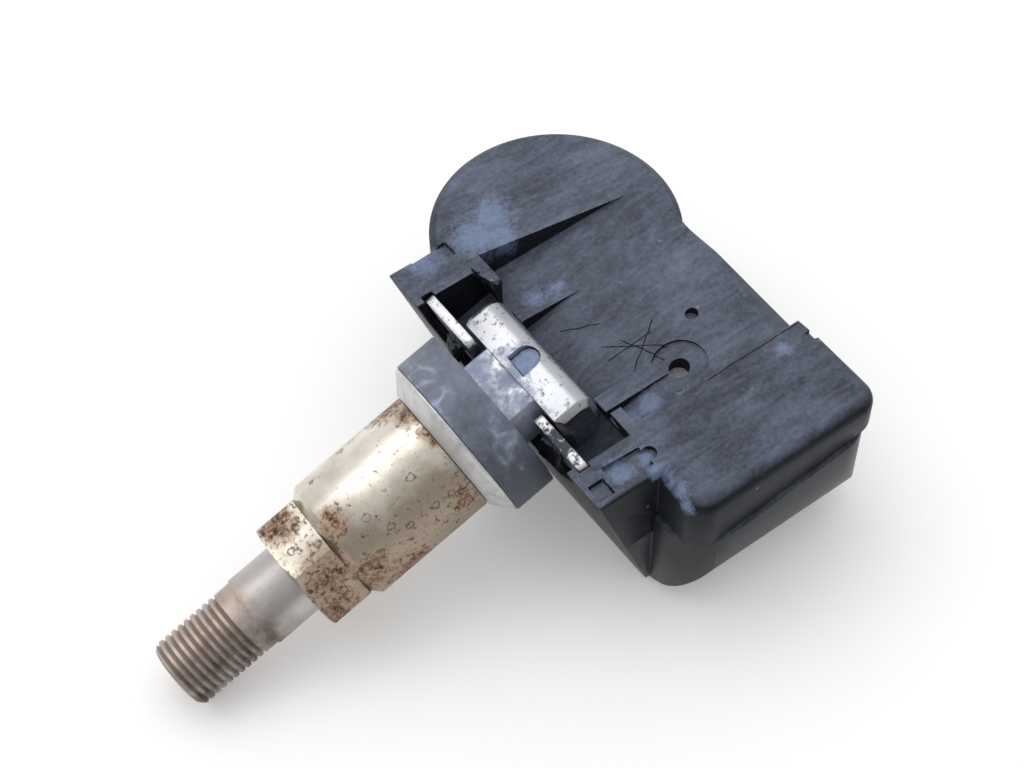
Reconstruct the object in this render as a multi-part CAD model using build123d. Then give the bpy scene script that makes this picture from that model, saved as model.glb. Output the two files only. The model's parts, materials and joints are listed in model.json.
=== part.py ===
from build123d import *
import os
from math import asin, atan2, cos, degrees, hypot, pi, radians, sqrt, tan

# Clamp-in tyre pressure sensor, in millimetres. It lies on its underside and on the lower edge of
# the valve mouth. The origin is on the floor under the middle of the housing, the valve points
# towards -X and the round battery lobe is on the +Y side.

# Swivel of the valve in the yoke, and the stem measured from it
swivel_x = -12.0
swivel_z = 18.3
stem_length = 46.9
shank_radius = 4.03

# T-shaped head and neck of the stem
head_depth = 4.4
head_width = 16.2
head_height = 7.0
head_back_radius = 1.9
head_corner = 0.7
neck_radius = 5.0
neck_height = 6.2
neck_length = 5.6
outlet_width = 2.9
outlet_floor = 1.2

# Flange, rubber grommet and nut washer, one behind the other along the stem
disc_radius = 9.4
flange_thickness = 1.7
grommet_thickness = 3.0
washer_back_radius = 9.25
washer_front_radius = 7.2
washer_lip = 0.25
washer_thickness = 1.8

# Nut and the stem thread that carries it, drawn at its outer radius
nut_thread_radius = 4.8
nut_thread_length = 13.0
collar_radius = 6.9
collar_length = 14.6
collar_chamfer = 0.9
hex_across = 12.0
hex_length = 4.8
hex_chamfer = 0.8
hex_turn = 30.0

# Cap thread at the mouth, drawn at its outer radius, and the bores of the stem
cap_thread_radius = 3.85
cap_thread_length = 9.9
mouth_chamfer = 0.5
plug_bore_radius = 2.65
plug_bore_depth = 6.0
barrel_bore_radius = 2.3
air_passage_radius = 1.5

# Valve core
plug_recess = 0.8
plug_length = 4.6
barrel_radius = 1.85
barrel_length = 6.8
barrel_wall = 0.35
gasket_length = 2.0
cup_radius = 1.75
cup_length = 1.6
pin_radius = 0.5
pin_head_radius = 0.85
pin_head_length = 0.7
pin_recess = 0.35
pin_collar_length = 0.5
pin_stroke = 1.2
spring_wire = 0.26
spring_turns = 4

# Locking fork
fork_thickness = 1.1
fork_half_width = 13.3
fork_web = 2.2
fork_tip_radius = 0.8

# Housing seen from above
lobe_x = 0.3
lobe_y = 12.8
lobe_radius = 13.4
block_front_x = -10.3
block_far_inset = 0.5
block_inner_y = -12.0
block_outer_y = -24.1
block_corner = 2.4
block_jog = 0.4
block_jog_y = -14.2
waist_step = 0.8
waist_taper = 4.5
waist_radius = 10.0
ear_half_width = 17.9
hull_lip = 0.4
hull_corner = 5.0

# Housing heights
floor_thickness = 3.2
board_z = 9.2
yoke_floor_z = 9.6
parting_front_z = 12.4
parting_far_z = 15.4
top_z = 20.4

# Housing walls and edges
wall = 1.6
yoke_wall_x = -8.4
keel_radius = 10.5
keel_chamfer = 4.0
front_edge_radius = 3.0
lobe_edge = 0.8
block_edge = 1.7
ear_edge = 0.5
parting_groove = 0.5
front_wall = 0.95

# Valley between lobe and block, rising away from the valve
valley_front_x = -9.4
valley_front_z = 16.2
valley_slope = 13.0
step_near_y = 14.3
step_far_y = 11.6
far_slope_x = 9.4
far_slope_drop = 2.0
rib_y = 7.0
rib_width = 2.0
rib_length = 8.2
rib_top_z = 18.0
stub_back_x = -8.6
stub_lobe_y = 10.2
stub_block_y = -9.6

# Yoke openings
pocket_half_width = 12.8
mouth_half_width = 12.6
mouth_low_half_width = 7.5
mouth_low_drop = 6.2

# Air port, moulding pin mark and recessed panels in the top
port_x = 0.1
port_y = -8.2
port_radius = 1.1
port_dish_radius = 3.0
port_dish_depth = 0.35
port_boss_radius = 2.8
port_boss_z = 14.0
mark_x = 4.7
mark_y = -4.4
mark_radius = 0.7
mark_depth = 0.8
panel_depth = 0.6
lobe_ear_panel = (-14.8, -10.4, 16.0, 17.9)
block_ear_panel = (-14.6, -10.2, -16.8, -14.3)
block_ear_square = (-17.0, -15.2, -17.2, -15.2)
dimple_x = -9.8
dimple_y = -15.6
dimple_radius = 0.8

# Circuit board and what it carries
board_thickness = 1.0
board_gap = 0.2
ledge = 1.0
cell_radius = 10.0
cell_thickness = 5.0
cell_gap = 0.4
cell_edge = 0.5
tab_thickness = 0.25
tab_width = 4.0
chip_size = 5.5
chip_height = 2.2
seal_radius = 2.2
coil_x = 3.5
coil_inset = 5.9
coil_length = 11.5
coil_depth = 3.6
coil_height = 2.8
coil_flange = 1.4
antenna_x = 2.4
antenna_inset = 3.2
antenna_length = 15.0
antenna_height = 4.2
antenna_width = 1.2
antenna_strip = 0.5
crystal_x = 7.2
crystal_inset = 13.6
crystal_size = (3.2, 5.0)
crystal_height = 1.2
capacitor_size = (1.6, 0.8)
capacitor_height = 0.8
capacitor_x = -4.4
capacitor_inset = 10.6
capacitor_pitch = 2.0
capacitor_count = 4

# Clearances
rock_gap = 0.35
fork_gap = 0.1
neck_gap = 0.35
slip_gap = 0.05
core_gap = 0.04
rest_gap = 0.05

# The stem hangs at the tilt that lets the lower edge of its mouth touch the floor
contact_start = stem_length - mouth_chamfer
reach = hypot(contact_start, cap_thread_radius)
stem_tilt = degrees(asin(swivel_z / reach) - atan2(cap_thread_radius, contact_start))
stem_frame = Location((swivel_x, 0, swivel_z), (0, -stem_tilt, 0))

# Stations along the stem, counted outwards from the swivel
flange_start = neck_length
grommet_start = flange_start + flange_thickness
washer_start = grommet_start + grommet_thickness + rest_gap
nut_start = washer_start + washer_thickness + rest_gap
thread_start = grommet_start + grommet_thickness
fork_start = head_depth / 2 + rock_gap
front_start = fork_start + fork_thickness + fork_gap + front_wall
hex_start = nut_start + collar_length

# Far sides of the block and of the body between lobe and block, each a little inside the lobe
block_far_x = lobe_x + lobe_radius - block_far_inset
waist_x = block_far_x - waist_step

# Corner of the hull, limited by the wall between the ear and the block's outer side
hull_round = min(hull_corner, -block_outer_y - ear_half_width)

# Pieces on the board, each counted inwards from the block's outer side
coil_y = block_outer_y + coil_inset
antenna_y = block_outer_y + antenna_inset
crystal_y = block_outer_y + crystal_inset
capacitor_y = block_outer_y + capacitor_inset

# Plane where upper housing and tray meet, rising away from the valve
parting_slope = degrees(atan2(parting_far_z - parting_front_z, block_far_x - block_front_x))
parting_frame = Location((block_front_x, 0, parting_front_z), (0, -parting_slope, 0))

# Stations of the valve core, counted inwards from the mouth
plug_inner = plug_recess + plug_length
barrel_inner = plug_inner + barrel_length
barrel_bore_depth = barrel_inner + rest_gap + cup_length + pin_stroke + rock_gap


def box_between(x0, x1, y0, y1, z0, z1):
    """Box given by its limits along each axis."""
    middle = Pos((x0 + x1) / 2, (y0 + y1) / 2, (z0 + z1) / 2)
    return middle * Box(x1 - x0, y1 - y0, z1 - z0)


def stem_rod(start, length, radius):
    """Round bar on the stem axis, from a station outwards."""
    bar = Cylinder(radius, length, align=(Align.CENTER, Align.CENTER, Align.MIN))
    return Pos(-start, 0, 0) * Rot(0, -90, 0) * bar


def stem_cone(start, length, inner_end_radius, outer_end_radius):
    """Cone on the stem axis, from a station outwards."""
    cone = Cone(inner_end_radius, outer_end_radius, length, align=(Align.CENTER, Align.CENTER, Align.MIN))
    return Pos(-start, 0, 0) * Rot(0, -90, 0) * cone


def core_rod(depth, length, radius):
    """Round bar on the stem axis, from a depth below the mouth inwards."""
    return stem_rod(stem_length - depth - length, length, radius)


def across_stem(start, length, half_width, low, high):
    """Block square to the stem, symmetric about its middle plane."""
    return box_between(-start - length, -start, -half_width, half_width, low, high)


def hull_plan(inset=0.0):
    """Outline of the hull seen from above, or an inset of it: straight sides and the lobe's round end."""
    radius = lobe_radius + hull_lip - inset
    front_x = lobe_x - radius
    far_x = block_far_x + hull_lip - inset
    block_x = block_front_x - hull_lip + inset
    outer_y = block_outer_y - hull_lip + inset
    outline = make_face(
        Polyline(
            (front_x, lobe_y),
            (front_x, inset - ear_half_width),
            (block_x, inset - ear_half_width),
            (block_x, outer_y),
            (far_x, outer_y),
            (far_x, lobe_y),
            close=True,
        )
    )
    outline = fillet(outline.vertices().group_by(Axis.Y)[0], hull_round - inset)
    return outline + Pos(lobe_x, lobe_y) * Circle(radius)


def waist_plan():
    """Outline of the body between lobe and block, narrower towards the lobe and hollow where it meets it."""
    block_end_y = block_inner_y - block_edge
    neck_x = waist_x - (lobe_y - block_end_y) * tan(radians(waist_taper))
    body = make_face(
        Polyline(
            (yoke_wall_x, lobe_y),
            (yoke_wall_x, block_end_y),
            (waist_x, block_end_y),
            (neck_x, lobe_y),
            close=True,
        )
    )
    body += Pos(lobe_x, lobe_y) * Circle(lobe_radius - lobe_edge)
    far_side = body.vertices().filter_by_position(Axis.Y, block_inner_y, lobe_y).sort_by(Axis.X)
    return fillet(far_side[-1], waist_radius)


def block_plan():
    """Outline of the block seen from above, with rounded outer corners and a small step in its far side."""
    outline = make_face(
        Polyline(
            (block_front_x, block_inner_y),
            (block_front_x, block_outer_y),
            (block_far_x, block_outer_y),
            (block_far_x, block_jog_y),
            (block_far_x - block_jog, block_jog_y),
            (block_far_x - block_jog, block_inner_y),
            close=True,
        )
    )
    return fillet(outline.vertices().group_by(Axis.Y)[0], block_corner)


def valley_z(x):
    """Height of the valley floor."""
    return valley_front_z + (x - valley_front_x) * tan(radians(valley_slope))


def valley(grow=0.0):
    """Space over the sloped floor between lobe and block, grown by a wall where wanted."""
    length = 4 * lobe_radius
    floor = Pos(valley_front_x, 0, valley_front_z - grow / cos(radians(valley_slope)))
    space = floor * Rot(0, -valley_slope, 0) * Box(
        length, length, top_z, align=(Align.MIN, Align.CENTER, Align.MIN)
    )
    step_slope = (step_far_y - step_near_y) / (far_slope_x - valley_front_x)
    near_x = valley_front_x - top_z * tan(radians(valley_slope)) / 2
    far_x = near_x + length
    plan = make_face(
        Polyline(
            (near_x, block_inner_y - grow),
            (far_x, block_inner_y - grow),
            (far_x, step_near_y + step_slope * (far_x - valley_front_x) + grow),
            (near_x, step_near_y + step_slope * (near_x - valley_front_x) + grow),
            close=True,
        )
    )
    return space & extrude(plan, 2 * top_z)


def half_space(place, side):
    """Everything on one side of a plane, as a block far larger than the housing."""
    size = 6 * ear_half_width
    return place * Box(size, size, size, align=(Align.CENTER, Align.CENTER, side))


def yoke_block(low, high):
    """Block between the ears' outer faces, from well ahead of the yoke back to its rear wall."""
    front_x = swivel_x - 2 * front_start
    return box_between(front_x, yoke_wall_x, -ear_half_width, ear_half_width, low, high)


def outer_keel():
    """Space inside the hull's outer side, whose bottom edge is well rounded."""
    size = 6 * ear_half_width
    end = Pos(block_outer_y - hull_lip, 0) * Rectangle(size, top_z, align=(Align.MIN, Align.MIN))
    end = fillet(end.vertices().group_by(Axis.Y)[0].sort_by(Axis.X)[0], keel_radius)
    return extrude(Plane.YZ * end, size, both=True)


def lobe_keel():
    """Space inside the hull's far side and lobe, whose bottom edges are chamfered alike."""
    size = 6 * ear_half_width
    side = Pos(block_far_x + hull_lip, 0) * Rectangle(size, top_z, align=(Align.MAX, Align.MIN))
    side = chamfer(side.vertices().group_by(Axis.Y)[0].sort_by(Axis.X)[-1], keel_chamfer)
    body = extrude(Plane.XZ * side, size, both=True) & box_between(-size, size, -size, lobe_y, 0, top_z)
    lobe = Pos(lobe_x, lobe_y, 0) * Cylinder(
        lobe_radius + hull_lip, top_z, align=(Align.CENTER, Align.CENTER, Align.MIN)
    )
    return body + chamfer(lobe.edges().group_by(Axis.Z)[0], keel_chamfer)


def round_keel_inset():
    """How far inside the hull's outer side a hollow has to end to keep a wall over the round bottom edge."""
    return keel_radius - sqrt((keel_radius - wall) ** 2 - (keel_radius - floor_thickness) ** 2)


def flat_keel_inset():
    """The same at the hull's far side, over the chamfered bottom edge."""
    return keel_chamfer + wall * sqrt(2) - floor_thickness


def inner_plan():
    """Outline of the space inside the housing, behind the yoke wall."""
    size = 4 * lobe_radius
    behind = Pos(yoke_wall_x + wall, 0) * Rectangle(size, 2 * size, align=(Align.MIN, Align.CENTER))
    return hull_plan(hull_lip + wall) & behind


def make_sensor_housing():
    """Upper housing: lobe, block, valley and the yoke with its two ears."""
    height = top_z - yoke_floor_z
    lobe = Pos(lobe_x, lobe_y, yoke_floor_z) * Cylinder(
        lobe_radius, height, align=(Align.CENTER, Align.CENTER, Align.MIN)
    )
    lobe = chamfer(lobe.edges().group_by(Axis.Z)[-1], lobe_edge)

    block = Pos(0, 0, yoke_floor_z) * extrude(block_plan(), height)
    block = fillet(block.edges().group_by(Axis.Z)[-1].group_by(Axis.Y)[:-1], block_edge)
    groove = block_plan() - offset(block_plan(), -parting_groove)
    groove = extrude(groove, top_z) & half_space(parting_frame * Pos(0, 0, parting_groove), Align.MAX)
    block = block - half_space(parting_frame, Align.MAX) - groove

    middle = Pos(0, 0, yoke_floor_z) * extrude(waist_plan(), height)
    ears = yoke_block(yoke_floor_z, top_z)
    ears = fillet(ears.edges().filter_by(Axis.X).group_by(Axis.Z)[-1], ear_edge)

    housing = (middle + lobe - half_space(parting_frame, Align.MAX)) + block + ears - valley() - far_slope()

    dish = Cylinder(port_dish_radius, port_dish_depth, align=(Align.CENTER, Align.CENTER, Align.MAX))
    housing -= Pos(port_x, port_y, valley_z(port_x)) * Rot(0, -valley_slope, 0) * dish

    rib_x = valley_front_x + rib_length
    for side in (-1, 1):
        rib_0 = side * rib_y - rib_width / 2
        rib_1 = side * rib_y + rib_width / 2
        housing += box_between(valley_front_x, rib_x, rib_0, rib_1, parting_far_z, rib_top_z)
    housing += box_between(swivel_x, stub_back_x, stub_lobe_y, step_near_y, parting_far_z, top_z)
    housing += box_between(swivel_x, stub_back_x, block_inner_y, stub_block_y, parting_far_z, top_z)

    housing -= stem_frame * yoke_opening()
    housing -= half_space(stem_frame * Pos(-front_start, 0, 0) * Rot(0, -90, 0), Align.MIN)
    housing -= top_cavity()

    port_place = Pos(port_x, port_y, port_boss_z)
    boss_height = valley_z(port_x) - wall / 2 - port_boss_z
    housing += port_place * Cylinder(
        port_boss_radius, boss_height, align=(Align.CENTER, Align.CENTER, Align.MIN)
    )
    housing -= port_place * Cylinder(port_radius, top_z, align=(Align.CENTER, Align.CENTER, Align.MIN))
    housing -= Pos(mark_x, mark_y, valley_z(mark_x) - mark_depth) * Cylinder(
        mark_radius, top_z, align=(Align.CENTER, Align.CENTER, Align.MIN)
    )
    panel_z = top_z - panel_depth
    for x0, x1, y0, y1 in (lobe_ear_panel, block_ear_panel, block_ear_square):
        housing -= box_between(x0, x1, y0, y1, panel_z, top_z)
    housing -= Pos(dimple_x, dimple_y, panel_z) * Cylinder(
        dimple_radius, top_z, align=(Align.CENTER, Align.CENTER, Align.MIN)
    )
    return housing


def far_slope():
    """Space over the far rim of the body, which falls away between lobe and block."""
    crease = Vector(lobe_x + lobe_radius - far_slope_x, lobe_y - block_inner_y, 0)
    fall = Vector(waist_x - far_slope_x, 0, -far_slope_drop)
    slope = Plane((far_slope_x, block_inner_y, top_z), fall, fall.cross(crease))
    space = half_space(slope.location, Align.MIN)
    size = 4 * lobe_radius
    over_body = Pos(0, block_inner_y, 0) * Box(
        size, lobe_y - block_inner_y, size, align=(Align.CENTER, Align.MIN, Align.CENTER)
    )
    return space & over_body


def yoke_opening():
    """Space for T-head, fork and neck in the yoke, drawn along the stem."""
    head_low = -head_height / 2 - rock_gap
    fork_low = -neck_radius - neck_gap - fork_web - fork_gap
    opening = across_stem(-fork_start, 2 * fork_start, pocket_half_width, head_low, top_z)
    opening += across_stem(
        fork_start - fork_gap, fork_thickness + 2 * fork_gap, fork_half_width + fork_gap, fork_low, top_z
    )
    mouth = make_face(
        Polyline(
            (-mouth_half_width, top_z),
            (-mouth_half_width, 0),
            (-mouth_low_half_width, -mouth_low_drop),
            (mouth_low_half_width, -mouth_low_drop),
            (mouth_half_width, 0),
            (mouth_half_width, top_z),
            close=True,
        )
    )
    mouth = fillet(mouth.vertices().group_by(Axis.Y)[0], neck_radius)
    mouth_face = Plane((-fork_start, 0, 0), x_dir=(0, 1, 0), z_dir=(1, 0, 0)) * mouth
    return opening + extrude(mouth_face, -2 * front_start)


def top_cavity():
    """Space inside the upper housing, leaving a wall all round and under the valley."""
    plan = inner_plan() & (offset(waist_plan(), -wall) + offset(block_plan(), -wall))
    return Pos(0, 0, yoke_floor_z) * extrude(plan, top_z - wall - yoke_floor_z) - valley(wall)


def make_base_tray():
    """Lower hull with the ledge for the board and the hollows for cell and coil."""
    front = yoke_block(0, yoke_floor_z)
    front = fillet(front.edges().filter_by(Axis.X).group_by(Axis.Z)[0], front_edge_radius)
    hull = ((extrude(hull_plan(), top_z) & lobe_keel()) + front) & outer_keel()
    tray = hull - half_space(parting_frame, Align.MIN) - yoke_block(yoke_floor_z, top_z)
    tray -= half_space(stem_frame * Pos(-front_start, 0, 0) * Rot(0, -90, 0), Align.MIN)
    tray -= Pos(0, 0, board_z) * extrude(inner_plan(), top_z)

    hollow_depth = board_z - floor_thickness
    tray -= Pos(lobe_x, lobe_y, floor_thickness) * Cylinder(
        cell_radius + cell_gap, hollow_depth, align=(Align.CENTER, Align.CENTER, Align.MIN)
    )
    slot_x = lobe_x + cell_radius + cell_gap + rest_gap
    slot_half = tab_width / 2 + rest_gap
    tray -= box_between(lobe_x, slot_x, lobe_y - slot_half, lobe_y + slot_half, floor_thickness, board_z)

    return tray - box_between(
        yoke_wall_x + wall + ledge,
        block_far_x + hull_lip - flat_keel_inset(),
        block_outer_y - hull_lip + round_keel_inset(),
        lobe_y - cell_radius - cell_gap - wall,
        floor_thickness,
        board_z,
    )


def make_circuit_board():
    """Board resting on the tray ledge."""
    return Pos(0, 0, board_z) * extrude(offset(inner_plan(), -board_gap), board_thickness)


def make_coin_cell():
    """Lithium coin cell, its lower rim softened."""
    cell = Pos(lobe_x, lobe_y, floor_thickness + tab_thickness) * Cylinder(
        cell_radius, cell_thickness, align=(Align.CENTER, Align.CENTER, Align.MIN)
    )
    return chamfer(cell.edges().group_by(Axis.Z)[0], cell_edge)


def make_cell_tab(plate_z, leg_x):
    """Welded contact strip: a plate on the cell and a leg up to the board."""
    y0 = lobe_y - tab_width / 2
    y1 = lobe_y + tab_width / 2
    plate = box_between(lobe_x - tab_width, leg_x, y0, y1, plate_z, plate_z + tab_thickness)
    leg = box_between(leg_x - tab_thickness, leg_x, y0, y1, plate_z, board_z)
    return plate + leg


def make_chip():
    """Pressure sensor under the air port."""
    chip_z = board_z + board_thickness
    chip = Pos(port_x, port_y, chip_z) * Box(
        chip_size, chip_size, chip_height, align=(Align.CENTER, Align.CENTER, Align.MIN)
    )
    vent = Pos(port_x, port_y, chip_z + chip_height / 2) * Cylinder(
        port_radius / 2, chip_height, align=(Align.CENTER, Align.CENTER, Align.MIN)
    )
    return chip - vent


def make_port_seal():
    """Rubber sleeve between chip and port boss."""
    seal_z = board_z + board_thickness + chip_height
    sleeve = Cylinder(seal_radius, port_boss_z - seal_z, align=(Align.CENTER, Align.CENTER, Align.MIN))
    hole = Cylinder(port_radius, port_boss_z - seal_z, align=(Align.CENTER, Align.CENTER, Align.MIN))
    return Pos(port_x, port_y, seal_z) * (sleeve - hole)


def make_wake_up_coil():
    """Low-frequency coil: winding between two end flanges."""
    base_z = board_z + board_thickness
    end_length = coil_length / 2
    core = box_between(
        coil_x - end_length, coil_x + end_length, coil_y - coil_depth / 2, coil_y + coil_depth / 2,
        base_z, base_z + coil_height,
    )
    waist_depth = (coil_depth - coil_flange) / 2
    winding_end = end_length - coil_flange
    for side in (-1, 1):
        edge_y = coil_y + side * coil_depth / 2
        inner_y = edge_y - side * (coil_depth / 2 - waist_depth)
        core -= box_between(
            coil_x - winding_end, coil_x + winding_end, min(edge_y, inner_y), max(edge_y, inner_y),
            base_z, base_z + coil_height,
        )
    return core


def make_loop_antenna():
    """Flat strip bent into a low arch over the board's outer edge."""
    base_z = board_z + board_thickness
    x0 = antenna_x - antenna_length / 2
    x1 = antenna_x + antenna_length / 2
    y0 = antenna_y - antenna_strip / 2
    y1 = antenna_y + antenna_strip / 2
    arch = box_between(x0, x1, y0, y1, base_z, base_z + antenna_height)
    return arch - box_between(
        x0 + antenna_width, x1 - antenna_width, y0, y1, base_z, base_z + antenna_height - antenna_width
    )


def make_crystal():
    """Low metal can with rounded corners."""
    width, length = crystal_size
    can = Pos(crystal_x, crystal_y, board_z + board_thickness) * extrude(
        RectangleRounded(width, length, width / 4), crystal_height
    )
    return can


def make_capacitors():
    """Row of chip capacitors beside the yoke wall."""
    length, width = capacitor_size
    row = []
    for index in range(capacitor_count):
        place = Pos(capacitor_x, capacitor_y + index * capacitor_pitch, board_z + board_thickness)
        chip = Box(length, width, capacitor_height, align=(Align.CENTER, Align.CENTER, Align.MIN))
        row.append(place * chip)
    return Compound(children=row)


def make_locking_fork():
    """U-shaped plate that straddles the neck and holds the T-head in the yoke."""
    slot_radius = neck_radius + neck_gap
    low = -slot_radius - fork_web
    high = (top_z - swivel_z) / cos(radians(stem_tilt)) + fork_start * tan(radians(stem_tilt))
    plate = across_stem(fork_start, fork_thickness, fork_half_width, low, high)
    plate -= stem_rod(fork_start, fork_thickness, slot_radius)
    plate -= across_stem(fork_start, fork_thickness, slot_radius, 0, high)
    tips = plate.edges().filter_by(Axis.X).group_by(Axis.Z)[-1]
    plate = fillet(tips, fork_tip_radius)
    return stem_frame * plate


def make_valve_stem():
    """Stem in one piece: T-head, neck, flange, nut thread, shank and mouth, with its bores."""
    head = Box(head_depth, head_width, head_height)
    head = fillet(head.edges().filter_by(Axis.Y).group_by(Axis.X)[-1], head_back_radius)
    head = chamfer(head.faces().filter_by(Axis.Y).edges(), head_corner)
    shank_start = thread_start + nut_thread_length
    shank = stem_rod(shank_start, stem_length - cap_thread_length - shank_start, shank_radius)
    cap_thread = core_rod(0, cap_thread_length, cap_thread_radius)
    cap_thread = chamfer(cap_thread.edges().group_by(Axis.X)[0], mouth_chamfer)
    neck = stem_rod(0, neck_length + flange_thickness, neck_radius)
    neck &= across_stem(0, neck_length + flange_thickness, neck_radius, -neck_height / 2, neck_height / 2)
    stem = head + neck
    stem += stem_rod(flange_start, flange_thickness, disc_radius)
    stem += stem_rod(grommet_start, grommet_thickness, neck_radius)
    stem += stem_rod(thread_start, nut_thread_length, nut_thread_radius)
    stem += shank + cap_thread
    stem -= core_rod(0, plug_bore_depth, plug_bore_radius)
    stem -= core_rod(0, barrel_bore_depth, barrel_bore_radius)
    stem -= stem_rod(0, stem_length, air_passage_radius)
    outlet = Circle(outlet_width / 2)
    outlet += Rectangle(outlet_width / 2, outlet_width, align=(Align.MAX, Align.CENTER))
    stem -= Pos(0, 0, outlet_floor) * extrude(outlet, head_height)
    return stem_frame * stem


def make_grommet():
    """Rubber disc on the stem, against the flange."""
    disc = stem_rod(grommet_start, grommet_thickness, disc_radius)
    return stem_frame * (disc - stem_rod(grommet_start, grommet_thickness, neck_radius + slip_gap))


def make_nut_washer():
    """Cone-shaped ring with a thin outer lip, carried on the inner end of the nut."""
    ring = stem_rod(washer_start, washer_lip, washer_back_radius)
    ring += stem_cone(
        washer_start + washer_lip, washer_thickness - washer_lip, washer_back_radius, washer_front_radius
    )
    return stem_frame * (ring - stem_rod(washer_start, washer_thickness, nut_thread_radius + slip_gap))


def make_collar_nut():
    """Long round collar and hexagon in one piece."""
    collar = stem_rod(nut_start, collar_length, collar_radius)
    collar = chamfer(collar.edges().group_by(Axis.X)[0], collar_chamfer)
    hexagon = Pos(-hex_start, 0, 0) * Rot(0, -90, 0) * extrude(
        RegularPolygon(hex_across / 2, 6, major_radius=False, rotation=hex_turn), hex_length
    )
    corner_radius = hex_across / 2 / cos(pi / 6)
    rounded = stem_rod(hex_start, hex_length, corner_radius)
    rounded = chamfer(rounded.edges().group_by(Axis.X)[0], hex_chamfer / 2, hex_chamfer)
    nut = collar + (hexagon & rounded)
    nut -= stem_rod(nut_start, collar_length + hex_length, shank_radius + slip_gap)
    thread_end = thread_start + nut_thread_length + slip_gap
    nut -= stem_rod(nut_start, thread_end - nut_start, nut_thread_radius + slip_gap)
    return stem_frame * nut


def make_core_plug():
    """Threaded plug of the valve core, with a way through for the pin and the air."""
    plug = core_rod(plug_recess, plug_length, plug_bore_radius - core_gap)
    plug -= core_rod(plug_recess, plug_length, pin_head_radius + core_gap)
    return stem_frame * plug


def make_core_barrel():
    """Sleeve under the plug, closed round the pin at its inner end."""
    barrel = core_rod(plug_inner, barrel_length, barrel_radius)
    barrel -= core_rod(plug_inner, barrel_length - barrel_wall, barrel_radius - barrel_wall)
    barrel -= core_rod(plug_inner, barrel_length, pin_radius + core_gap)
    return stem_frame * barrel


def make_core_gasket():
    """Sealing ring between barrel and bore."""
    depth = plug_bore_depth + barrel_wall
    ring = core_rod(depth, gasket_length, barrel_bore_radius - core_gap)
    return stem_frame * (ring - core_rod(depth, gasket_length, barrel_radius + core_gap))


def make_core_pin():
    """Valve pin: head at the mouth, rod through the barrel and a collar for the spring."""
    rod_inner = barrel_inner + rest_gap
    pin = core_rod(pin_recess, rod_inner - pin_recess, pin_radius)
    pin += core_rod(pin_recess, pin_head_length, pin_head_radius)
    pin += core_rod(plug_inner + rest_gap, pin_collar_length, pin_head_radius)
    return stem_frame * pin


def make_core_cup():
    """Cup with the rubber seat, fixed on the inner end of the pin."""
    return stem_frame * core_rod(barrel_inner + rest_gap, cup_length, cup_radius)


def make_core_spring():
    """Coil spring between the pin's collar and the barrel's closed end."""
    outer = plug_inner + rest_gap + pin_collar_length + spring_wire / 2
    inner = barrel_inner - barrel_wall - spring_wire / 2
    coil_radius = (pin_radius + barrel_radius - barrel_wall) / 2
    travel = inner - outer
    path = Helix(travel / spring_turns, travel, coil_radius)
    section = Plane(path @ 0, z_dir=path % 0) * RegularPolygon(spring_wire / 2, 4)
    coil = sweep(section, path=path, is_frenet=True)
    return stem_frame * Pos(inner - stem_length, 0, 0) * Rot(0, -90, 0) * coil


def make_parts():
    """Every piece by its name."""
    chip_side_tab_z = floor_thickness + tab_thickness + cell_thickness
    return {
        "sensor_housing": make_sensor_housing(),
        "base_tray": make_base_tray(),
        "circuit_board": make_circuit_board(),
        "coin_cell": make_coin_cell(),
        "cell_tab_positive": make_cell_tab(chip_side_tab_z, lobe_x + tab_width),
        "cell_tab_negative": make_cell_tab(floor_thickness, lobe_x + cell_radius + cell_gap),
        "sensor_chip": make_chip(),
        "port_seal": make_port_seal(),
        "wake_up_coil": make_wake_up_coil(),
        "loop_antenna": make_loop_antenna(),
        "crystal_can": make_crystal(),
        "chip_capacitors": make_capacitors(),
        "locking_fork": make_locking_fork(),
        "valve_stem": make_valve_stem(),
        "sealing_grommet": make_grommet(),
        "nut_washer": make_nut_washer(),
        "collar_nut": make_collar_nut(),
        "core_plug": make_core_plug(),
        "core_barrel": make_core_barrel(),
        "core_gasket": make_core_gasket(),
        "core_pin": make_core_pin(),
        "core_cup": make_core_cup(),
        "core_spring": make_core_spring(),
    }


os.makedirs("parts", exist_ok=True)
for node, shape in make_parts().items():
    export_step(shape, f"parts/{node}.step")
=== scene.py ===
"""Dressed model of a used clamp-in tyre pressure sensor, lying on a white table."""

import json
import logging
from collections.abc import Callable, Iterable, Iterator, Mapping
from contextlib import contextmanager
from dataclasses import dataclass
from enum import Enum
from functools import reduce
from math import atan2, cos, pi, radians, sin, tan

import bpy
from mathutils import Matrix, Vector


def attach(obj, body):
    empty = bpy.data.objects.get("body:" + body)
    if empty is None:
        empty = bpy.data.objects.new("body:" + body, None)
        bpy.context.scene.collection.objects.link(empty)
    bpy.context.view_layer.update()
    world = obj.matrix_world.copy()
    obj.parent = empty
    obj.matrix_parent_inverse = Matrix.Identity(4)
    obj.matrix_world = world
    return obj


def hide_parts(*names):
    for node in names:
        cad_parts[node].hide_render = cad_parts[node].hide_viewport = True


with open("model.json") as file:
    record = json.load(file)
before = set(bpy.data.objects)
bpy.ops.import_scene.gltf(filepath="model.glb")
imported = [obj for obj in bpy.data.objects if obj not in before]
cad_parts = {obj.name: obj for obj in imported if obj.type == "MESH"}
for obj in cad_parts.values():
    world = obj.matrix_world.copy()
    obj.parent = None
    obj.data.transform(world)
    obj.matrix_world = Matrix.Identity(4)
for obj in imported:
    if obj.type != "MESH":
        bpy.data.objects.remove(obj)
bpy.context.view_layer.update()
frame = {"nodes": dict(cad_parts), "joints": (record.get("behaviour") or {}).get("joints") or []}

LOG = logging.getLogger("tyre_pressure_sensor")
MM = 0.001
PER_MM = (1.0 / MM,) * 3
WHITE = "#ffffff"

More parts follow.
